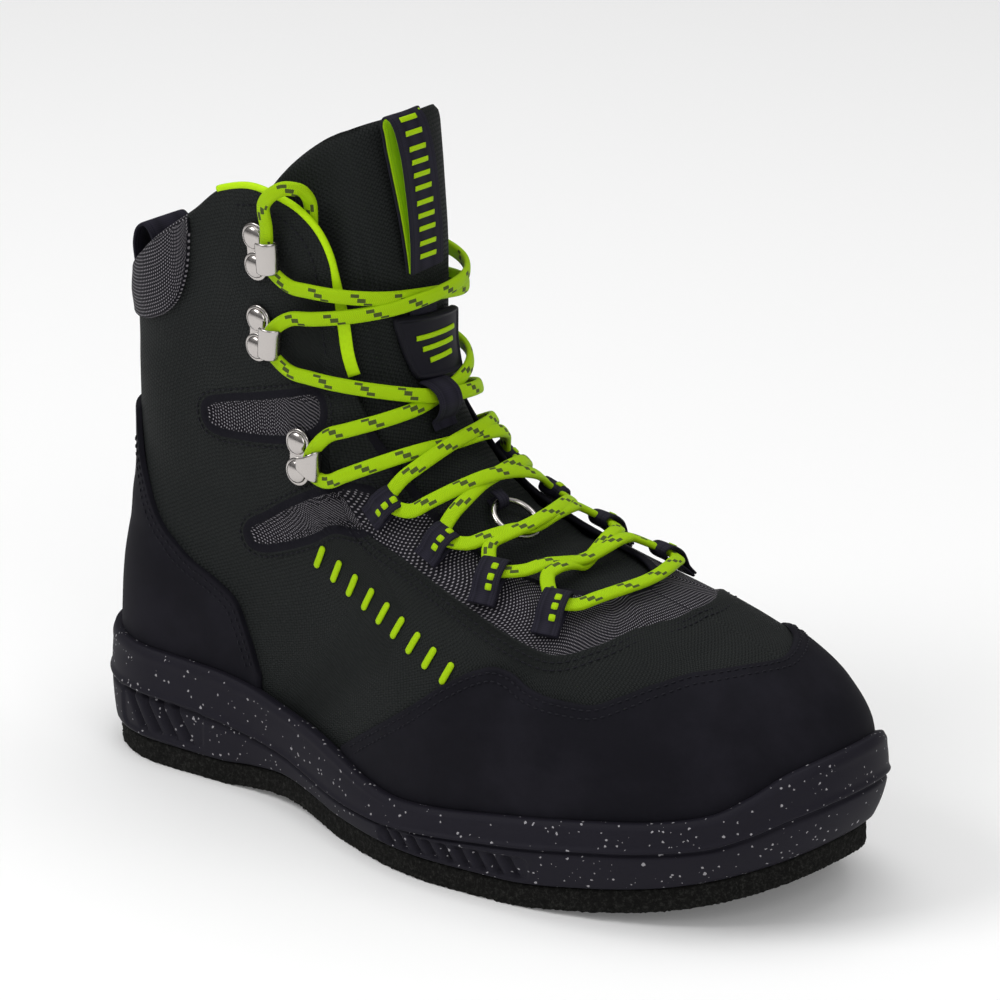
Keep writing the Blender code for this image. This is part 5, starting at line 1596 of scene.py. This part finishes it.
def make_hooks():
    """Plate, two domed rivets and the curled band of each hook."""
    half = RIVET_SPACING / 2
    dome = [(RIVET_RADIUS + 0.1, 0.9)]
    dome += [(RIVET_RADIUS * math.cos(a), 1.2 + 1.75 * math.sin(a))
             for a in np.linspace(0.0, 1.45, 9)]
    plate = [(RIVET_RADIUS + 0.9, -0.3), (RIVET_RADIUS + 1.1, 0.0), (RIVET_RADIUS + 1.1, 0.75),
             (RIVET_RADIUS + 0.8, 1.05), (RIVET_RADIUS - 0.2, 1.1)]
    for side, label in SIDES:
        for index, kind in enumerate(("top_hook", "middle_hook", "locking_hook")):
            frame_of = hook_frame(index, side)
            pieces = []
            for sign in (-1, 1):
                for profile in (plate, dome):
                    rings = lathe(frame_of, (-4.0, sign * half), profile)
                    pieces.append(surface("rivet", rings, STEEL, around=True))
            band = np.array(HOOK_BAND)
            if kind == "locking_hook":
                band[-3:, 2] = (4.9, 3.6, 2.0)
                band[-1, 0] = 0.2
            band = flowing(band, 60)
            path = in_frame(frame_of, np.stack([band[:, 0], 0 * band[:, 0], band[:, 1]], -1))
            pieces.append(sweep("band", path, square_to(path, frame_of[2]), 2 * band[:, 2],
                                HOOK_THICKNESS, STEEL, sides=20, squareness=5.0))
            hook = join("%s_metal_%s" % (kind, label), pieces)
            finish_piece(hook, "hook_steel", "%s_%s" % (kind, label))


def join(name, pieces):
    """Puts closed shapes of one finish into one mesh."""
    work = bmesh.new()
    for piece in pieces:
        work.from_mesh(piece.data)
    mesh = bpy.data.meshes.new(name)
    work.to_mesh(mesh)
    work.free()
    mesh.materials.append(pieces[0].data.materials[0])
    for piece in pieces:
        bpy.data.objects.remove(piece, do_unlink=True)
    return put_in_scene(name, mesh)


# Laces

def loop_mouth(index, side, end):
    """Where the lace leaves a loop's tunnel, as height and turn: end 1 towards the ankle."""
    fold, sewn, sideways = loop_lines(index, side)
    share, out = LOOP_MOUTHS[end]
    where = fold + (sewn - fold) * share
    start = np.array([rise(where[0]), where[1]])
    return settle(last(*start) + sideways * out, start)


def hook_mouth(index, side, end):
    """Where the lace leaves a hook, as height and turn: end 1 at its upper side."""
    across = end * (HOOK_BAND_HEIGHT / 2 + LACE_WIDTH / 2 + MOUTH_GAP)
    point = in_frame(hook_frame(index, side), (4.0, across, 0.0))
    return settle(point, (rise(HOOKS["height"][index]), side * HOOKS["turn"][index]))


def loop_middle(index, side):
    """Middle of a loop's tunnel, as height and turn."""
    fold, sewn, _ = loop_lines(index, side)
    start = last(rise(fold[0]), fold[1])
    end = last(rise(sewn[0]), sewn[1])
    return settle(start + (end - start) * 0.10, (rise(fold[0]), fold[1]))


def crossing(index, start, end, lifts):
    """A taut run over a crossing with its ups, lifted by lifts at even shares of its way."""
    middle = np.array([rise(CROSSINGS["height"][index]), TONGUE_MIDDLE])
    places = np.concatenate([taut(start, middle, 9), taut(middle, end, 9)[1:]])
    for _ in range(4):
        places[1:-1] = (places[:-2] + 2 * places[1:-1] + places[2:]) / 4
    lift = curve(np.linspace(0, 1, len(lifts)), lifts, np.linspace(0, 1, len(places)))
    height, turn = places.T
    return on_last(height, turn, lift), last_normal(height, turn)


LACE_SEAT = LOOP_SEAT + STRAP_THICKNESS + LOOP_CLEAR + LACE_THICKNESS / 2
# Where the lace goes through, from the toe to the ankle, and its way inside a hook
STATIONS = ((loop_mouth, 3), (loop_mouth, 2), (loop_mouth, 1), (loop_mouth, 0), (hook_mouth, 2),
            (hook_mouth, 1), (hook_mouth, 0))
IN_HOOK = ((3.7, -3.2, 3.0), (3.2, 0.0, 3.2), (3.7, 3.2, 3.0))


def lace_side(side):
    """Route of the lace that starts at the toe end on one side: points and ups."""
    points = []
    ups = []
    for number, (mouth, index) in enumerate(STATIONS):
        if mouth is loop_mouth:
            middle = loop_middle(index, side)
            points.append(on_last(*middle, LACE_SEAT)[None])
            ups.append(last_normal(*middle)[None])
        else:
            frame_of = hook_frame(index, side)
            points.append(in_frame(frame_of, IN_HOOK))
            ups.append(np.repeat(frame_of[3][None], 3, 0))
        if number == len(STATIONS) - 1:
            break
        leave = mouth(index, side, 1)
        next_mouth, next_index = STATIONS[number + 1]
        enter = next_mouth(next_index, -side, -1)
        low = CROSSINGS["lift"][number]
        if (side > 0) == (number % 2 == 0):
            half_way = (LACE_SEAT, 4.0, 3.2 + low / 2, low + CROSS_RISE + 0.15)
        else:
            half_way = (LACE_SEAT, 3.9, 2.7 + low / 2, low - 0.15)
        run, up = crossing(number, leave, enter, half_way + half_way[-2::-1])
        points.append(run[1:-1])
        ups.append(up[1:-1])
        side = -side
    return np.concatenate(points), np.concatenate(ups)


def lace_cord(name, path, ups):
    return sweep(name, path, ups, LACE_WIDTH, LACE_THICKNESS * LACE_SQUASH, LACE, sides=20,
                 squareness=2.6)


def make_laces():
    """One lace through all the loops and hooks, and its two ends from the top hooks inside."""
    inner_points, inner_ups = lace_side(1)
    outer_points, outer_ups = lace_side(-1)
    height, turn = taut(loop_mouth(3, -1, -1), loop_mouth(3, 1, -1), 15).T
    points = np.concatenate([outer_points[::-1], on_last(height, turn, LACE_SEAT), inner_points])
    ups = np.concatenate([outer_ups[::-1], last_normal(height, turn), inner_ups])
    both = flowing(np.concatenate([points, ups * 3], 1), 1500)
    path, ups = resample(both[:, :3], 0.9, both[:, 3:])
    ups = unit(ups)
    for _ in range(6):
        path[1:-1] = (path[:-2] + 2 * path[1:-1] + path[2:]) / 4
        ups[1:-1] = unit(ups[:-2] + 2 * ups[1:-1] + ups[2:])
    finish_piece(lace_cord("lace_run", path, ups), "lace", "lace_bar",
                 *("lace_cross_%d" % n for n in range(1, 7)))
    for side, label in SIDES:
        mouth = hook_mouth(0, side, 1)
        knots = [(mouth[0] - 1.0, mouth[1], 3.6)]
        knots += [(rise(share), side * turn, lift) for share, turn, lift in LACE_END]
        knots = np.array(knots)
        t = np.linspace(0, len(knots) - 1, 90)
        run = on_last(*(curve(np.arange(len(knots)), values, t) for values in knots.T))
        hook = in_frame(hook_frame(0, side), IN_HOOK[-1:])
        run = resample(flowing(np.concatenate([hook, run[4::4], run[-1:]]), 160), 1.0)
        guess = (np.full(len(run), rise(1.95)), np.full(len(run), side * 0.37))
        tail = lace_cord("lace_tail_" + label, run, last_normal(*settle_all(run, *guess)))
        finish_piece(tail, "lace", "lace_end_" + label)
        float(round(walked(run)[-1] * MM, 4))


# Trim of the tongue

# Outlines in height share and lift above the tongue
PULL_LOOP_PATH = ((1.800, 0.9), (1.96, 1.0), (2.10, 1.2), (2.19, 2.0), (2.244, 3.6),
                  (2.258, 6.2), (2.238, 8.2), (2.168, 9.0), (2.032, 7.1), (1.91, 4.8),
                  (1.800, 2.5))
KEEPER_ARCH = ((1.350, 0.5), (1.370, 0.8), (1.383, 4.6), (1.404, 7.4), (1.424, 8.0),
               (1.444, 7.4), (1.466, 4.6), (1.478, 1.0))
# How far the pull loop's top leans to the outer side
PULL_LOOP_LEAN = 9.5


def tongue_path(outline, count=140, more=0.0):
    """A path in the plane of the tongue's middle, from height shares and lifts."""
    return flowing([tongue_top(rise(share), TONGUE_MIDDLE, lift + more)
                    for share, lift in outline], count)


def tongue_patch(corners, across, up):
    """Heights and turns in a patch: corners run from the lower outer one to the upper inner
    one, across and up from -1 to 1."""
    u = (across + 1) / 2
    v = (up + 1) / 2
    (h00, t00), (h01, t01), (h10, t10), (h11, t11) = corners
    share = (h00 * (1 - u) + h01 * u) * (1 - v) + (h10 * (1 - u) + h11 * u) * v
    turn = (t00 * (1 - u) + t01 * u) * (1 - v) + (t10 * (1 - u) + t11 * u) * v
    return rise(share), turn


def tongue_sheet(name, corners, lift, thickness, finish, rows=48, cols=48, crown=0.0, rim=0.0):
    """A flat piece with round corners and edges on the front of the tongue."""
    up = np.sin(np.linspace(-math.pi / 2, math.pi / 2, rows))[:, None]
    across = np.sin(np.linspace(-math.pi / 2, math.pi / 2, cols))[None, :]
    level = np.abs(up)
    side = np.abs(across)
    up, across = up * (1 - 0.07 * side ** 8), across * (1 - 0.07 * level ** 8)
    height, turn = tongue_patch(corners, across, up)
    base = tongue_top(height, turn, 0.0)
    normal = last_normal(height, turn)
    tall = np.linalg.norm(base[-1, cols // 2] - base[0, cols // 2])
    wide = np.linalg.norm(base[:, -1] - base[:, 0], axis=-1)[:, None]
    to_edge = np.minimum((1 - level) * tall / 2, (1 - side) * wide / 2)
    ridge = rim * np.exp(-((to_edge - 1.3) / 0.7) ** 2)
    outer = base + normal * (lift + thickness * (0.25 + 0.75 * rounded(to_edge, 0.9)) + ridge
                             + crown * smooth(to_edge / 5.0))[..., None]
    coords = np.stack([across + 0.5, up * tall / 2], -1)
    return sheet(name, outer, base + normal * lift, finish, coords)


TAPE_CORNERS = ((1.495, -0.072), (1.495, 0.012), (1.700, -0.072), (1.700, 0.012))
BADGE_CORNERS = ((1.482, -0.078), (1.462, 0.106), (1.672, -0.134), (1.650, 0.118))
# Bars on the badge: height from -1 to 1 and half width likewise
BADGE_BARS = ((-0.36, 0.34), (0.0, 0.46), (0.36, 0.56))


def make_tongue_trim():
    """Tape and badge on the tongue, the keeper under it, and the pull loop."""
    tape = tongue_sheet("tongue_tape", TAPE_CORNERS, 0.6, 1.0, WEBBING)
    finish_piece(tape, "webbing", "tongue_webbing")
    badge = tongue_sheet("badge_shell", BADGE_CORNERS, 1.6, 1.6, BADGE, rows=72, cols=72,
                         crown=0.2, rim=0.7)
    finish_piece(badge, "badge_rubber", "tongue_badge")
    bars = []
    for level, reach in BADGE_BARS:
        t = np.linspace(-1, 1, 31)
        height, turn = tongue_patch(BADGE_CORNERS, t * reach, level + 0.06 * t)
        bars.append(sweep("bar", tongue_top(height, turn, 3.55), last_normal(height, turn), 1.9,
                          0.9, LIME, sides=10, squareness=3.0))
    finish_piece(join("badge_bars", bars), "lace")
    path = resample(tongue_path(KEEPER_ARCH, more=1.0 + STRAP_THICKNESS / 2), 0.6)
    keeper = sweep("keeper_tape", path, square_to(path, ACROSS), KEEPER_WIDTH, STRAP_THICKNESS,
                   WEBBING, sides=18, squareness=6.0)
    finish_piece(keeper, "webbing", "tongue_keeper")
    path = resample(tongue_path(PULL_LOOP_PATH, more=0.9), 0.7)
    climb = (path[:, 2] - path[0, 2]) / np.ptp(path[:, 2])
    path[:, 1] -= PULL_LOOP_LEAN * np.clip(climb, 0, 1) ** 1.3
    out = square_to(path, ACROSS)
    out = out * np.sign(((path - path.mean(0)) * out).sum(1).mean())
    strap = sweep("pull_loop_tape", path + out * 0.25, out, PULL_LOOP_WIDTH, 1.0, WEBBING,
                  sides=20, squareness=7.0)
    lining = sweep("pull_loop_lining", path - out * 0.50, out, PULL_LOOP_WIDTH - 1.2, 0.7,
                   LIME_TAPE, sides=20, squareness=7.0)
    finish_piece(strap, "webbing", "tongue_loop")
    finish_piece(lining, "lace")
    along = walked(path)
    marks = []
    for at in np.arange(along[-1] * 0.52, along[-1] * 0.97, 5.2):
        k = int(np.argmin(np.abs(along - at)))
        line = path[k] + out[k] * 0.85 + np.outer(np.linspace(-4.2, 4.2, 12), ACROSS)
        marks.append(sweep("mark", line, np.repeat(out[k][None], 12, 0), 1.9, 0.4, LIME, sides=8,
                           squareness=3.0))
    finish_piece(join("pull_loop_marks", marks), "lace")


def make_ring():
    """Split ring in its small webbing tab."""
    height = rise(RING_HEIGHT)
    centre = tongue_top(height, TONGUE_MIDDLE, RING_LIFT)
    out = last_normal(height, TONGUE_MIDDLE)
    down = unit(unit(np.cross(ACROSS, out)) - out * RING_TILT)
    angles = np.linspace(0, 2 * math.pi, 90, endpoint=False)
    path = centre + RING_RADIUS * (np.outer(np.cos(angles), down)
                                   + np.outer(np.sin(angles), ACROSS))
    ring = sweep("ring_wire", path, np.repeat(out[None], 90, 0), 2 * RING_WIRE, 2 * RING_WIRE,
                 STEEL, sides=16, closed=True)
    finish_piece(ring, "hook_steel", "lace_ring")
    hold = centre - down * RING_RADIUS
    gap = RING_WIRE + 1.3
    line = [(-TAB_LENGTH, gap * 0.8), (-1.8, gap)]
    line += [(gap * math.cos(a), gap * math.sin(a)) for a in np.linspace(1.35, -1.35, 9)]
    line += [(-1.8, -gap), (-TAB_LENGTH, -gap * 0.8)]
    path = resample(flowing([hold + down * x + out * z for x, z in line], 90), 0.4)
    tab = sweep("ring_tape", path, square_to(path, ACROSS), TAB_WIDTH, 0.8, WEBBING, sides=16,
                squareness=6.0)
    finish_piece(tab, "webbing", "ring_tab")


def make_heel_loop():
    """Strap over the back of the collar."""
    edge = last(rise(EDGE["height"][-1]), 1.0)
    path = flowing([edge + (ahead, 0.0, above) for ahead, above in HEEL_LOOP_PATH], 120)
    path = resample(path, 0.7)
    ups = square_to(path, ACROSS)
    strap = sweep("heel_loop_tape", path - ups * 0.65, ups, HEEL_LOOP_WIDTH, 1.3, WEBBING,
                  sides=24, squareness=8.0)
    finish_piece(strap, "webbing", "heel_loop")


def make_piping():
    """Bright cord along the collar's front edge, with its flat tape lower down."""
    for side, label in SIDES:
        around = np.linspace(0.650, 0.815, 190)
        height = rise(edge_at("height", around))
        turn = edge_at("turn", around) * side
        fold = last(rise(edge_at("fold_height", around)), edge_at("fold_turn", around) * side)
        normal = last_normal(height, turn)
        edge = last(height, turn) - normal * UPPER_WALL / 2
        away = square_to(edge, normal)
        sign = np.sign(((edge - fold) * away).sum(1))[:, None]
        path = edge + away * sign * (PIPING_RADIUS + 0.35)
        path, normal, share = resample(path, 1.0, normal, around[:, None])
        flat = smooth((0.692 - share[:, 0]) / 0.022)
        cord = sweep("piping_cord_" + label, path, unit(normal), 2 * PIPING_RADIUS + 4.6 * flat,
                     2 * PIPING_RADIUS - 1.2 * flat, PIPING, sides=16)
        finish_piece(cord, "piping", "piping_" + label)


# Camera, light and floor

def make_view():
    """Camera where the photograph was taken from."""
    azimuth = math.radians(VIEW_AZIMUTH)
    elevation = math.radians(VIEW_ELEVATION)
    roll = math.radians(VIEW_ROLL)
    back = Vector((math.sin(azimuth) * math.cos(elevation),
                   -math.cos(azimuth) * math.cos(elevation), math.sin(elevation)))
    level = Vector((math.cos(azimuth), math.sin(azimuth), 0.0))
    above = back.cross(level)
    right = level * math.cos(roll) + above * math.sin(roll)
    up = above * math.cos(roll) - level * math.sin(roll)
    lens = bpy.data.cameras.new("camera")
    lens.lens = VIEW_LENS
    lens.clip_end = 20.0
    camera = put_in_scene("camera", lens)
    place = (Vector(VIEW_TARGET) + back * VIEW_DISTANCE) * MM
    facing = Matrix((right, up, back)).transposed().to_4x4()
    camera.matrix_world = Matrix.Translation(place) @ facing
    bpy.context.scene.camera = camera


# Lengths in metres
LIGHTS_AIM = (0.11, 0.0, 0.10)
FLOOR_REACH = 14.0
# The sky's brightness by the share of its height
SKY_RAMP = (("From Min", -0.05), ("From Max", 0.75), ("To Min", 0.10), ("To Max", 1.05))
SKY_STRENGTH = 0.52
PAPER_GLOW = 0.10


def area_light(name, place, size, power):
    """A soft light at a place in metres, aimed at the boot."""
    data = bpy.data.lights.new(name, "AREA")
    data.shape = "RECTANGLE"
    data.size, data.size_y = size
    data.energy = power
    light = put_in_scene(name, data)
    light.location = place
    light.rotation_euler = (Vector(LIGHTS_AIM) - Vector(place)).to_track_quat("-Z", "Y").to_euler()


def make_stage():
    """A pale floor and soft studio light from above, the left and the right."""
    world = bpy.data.worlds.new("studio")
    bpy.context.scene.world = world
    world.use_nodes = True
    nodes = world.node_tree.nodes
    link = world.node_tree.links.new
    sky = nodes["Background"]
    around = nodes.new("ShaderNodeTexCoord")
    split = nodes.new("ShaderNodeSeparateXYZ")
    ramp = nodes.new("ShaderNodeMapRange")
    link(around.outputs["Generated"], split.inputs[0])
    link(split.outputs[2], ramp.inputs["Value"])
    for name, value in SKY_RAMP:
        ramp.inputs[name].default_value = value
    link(ramp.outputs["Result"], sky.inputs["Color"])
    sky.inputs["Strength"].default_value = SKY_STRENGTH
    bpy.context.scene.view_settings.view_transform = "Standard"
    mesh = bpy.data.meshes.new("floor")
    corners = ((-1, -1), (1, -1), (1, 1), (-1, 1))
    mesh.from_pydata([(x * FLOOR_REACH, y * FLOOR_REACH, 0) for x, y in corners], [],
                     [(0, 1, 2, 3)])
    paper = Graph("paper", (0.90, 0.90, 0.90), 0.9)
    paper.feed(paper.shader.inputs["Emission Color"], (1.0, 1.0, 1.0))
    paper.feed(paper.shader.inputs["Emission Strength"], PAPER_GLOW)
    mesh.materials.append(paper.material)
    put_in_scene("floor", mesh)
    area_light("key", (-0.9, -1.3, 1.7), (1.2, 0.9), 20.0)
    area_light("fill", (1.7, -0.9, 1.0), (1.2, 1.2), 9.0)
    area_light("top", (0.1, 0.3, 2.0), (1.6, 1.2), 12.0)


make_felt()
make_midsole()
make_upper()
make_overlays()
make_stitches()
make_window_stitches()
make_quarter_bars()
make_tongue()
make_insole()
make_lace_loops()
make_hooks()
make_laces()
make_tongue_trim()
make_ring()
make_heel_loop()
make_piping()
make_stage()
make_view()
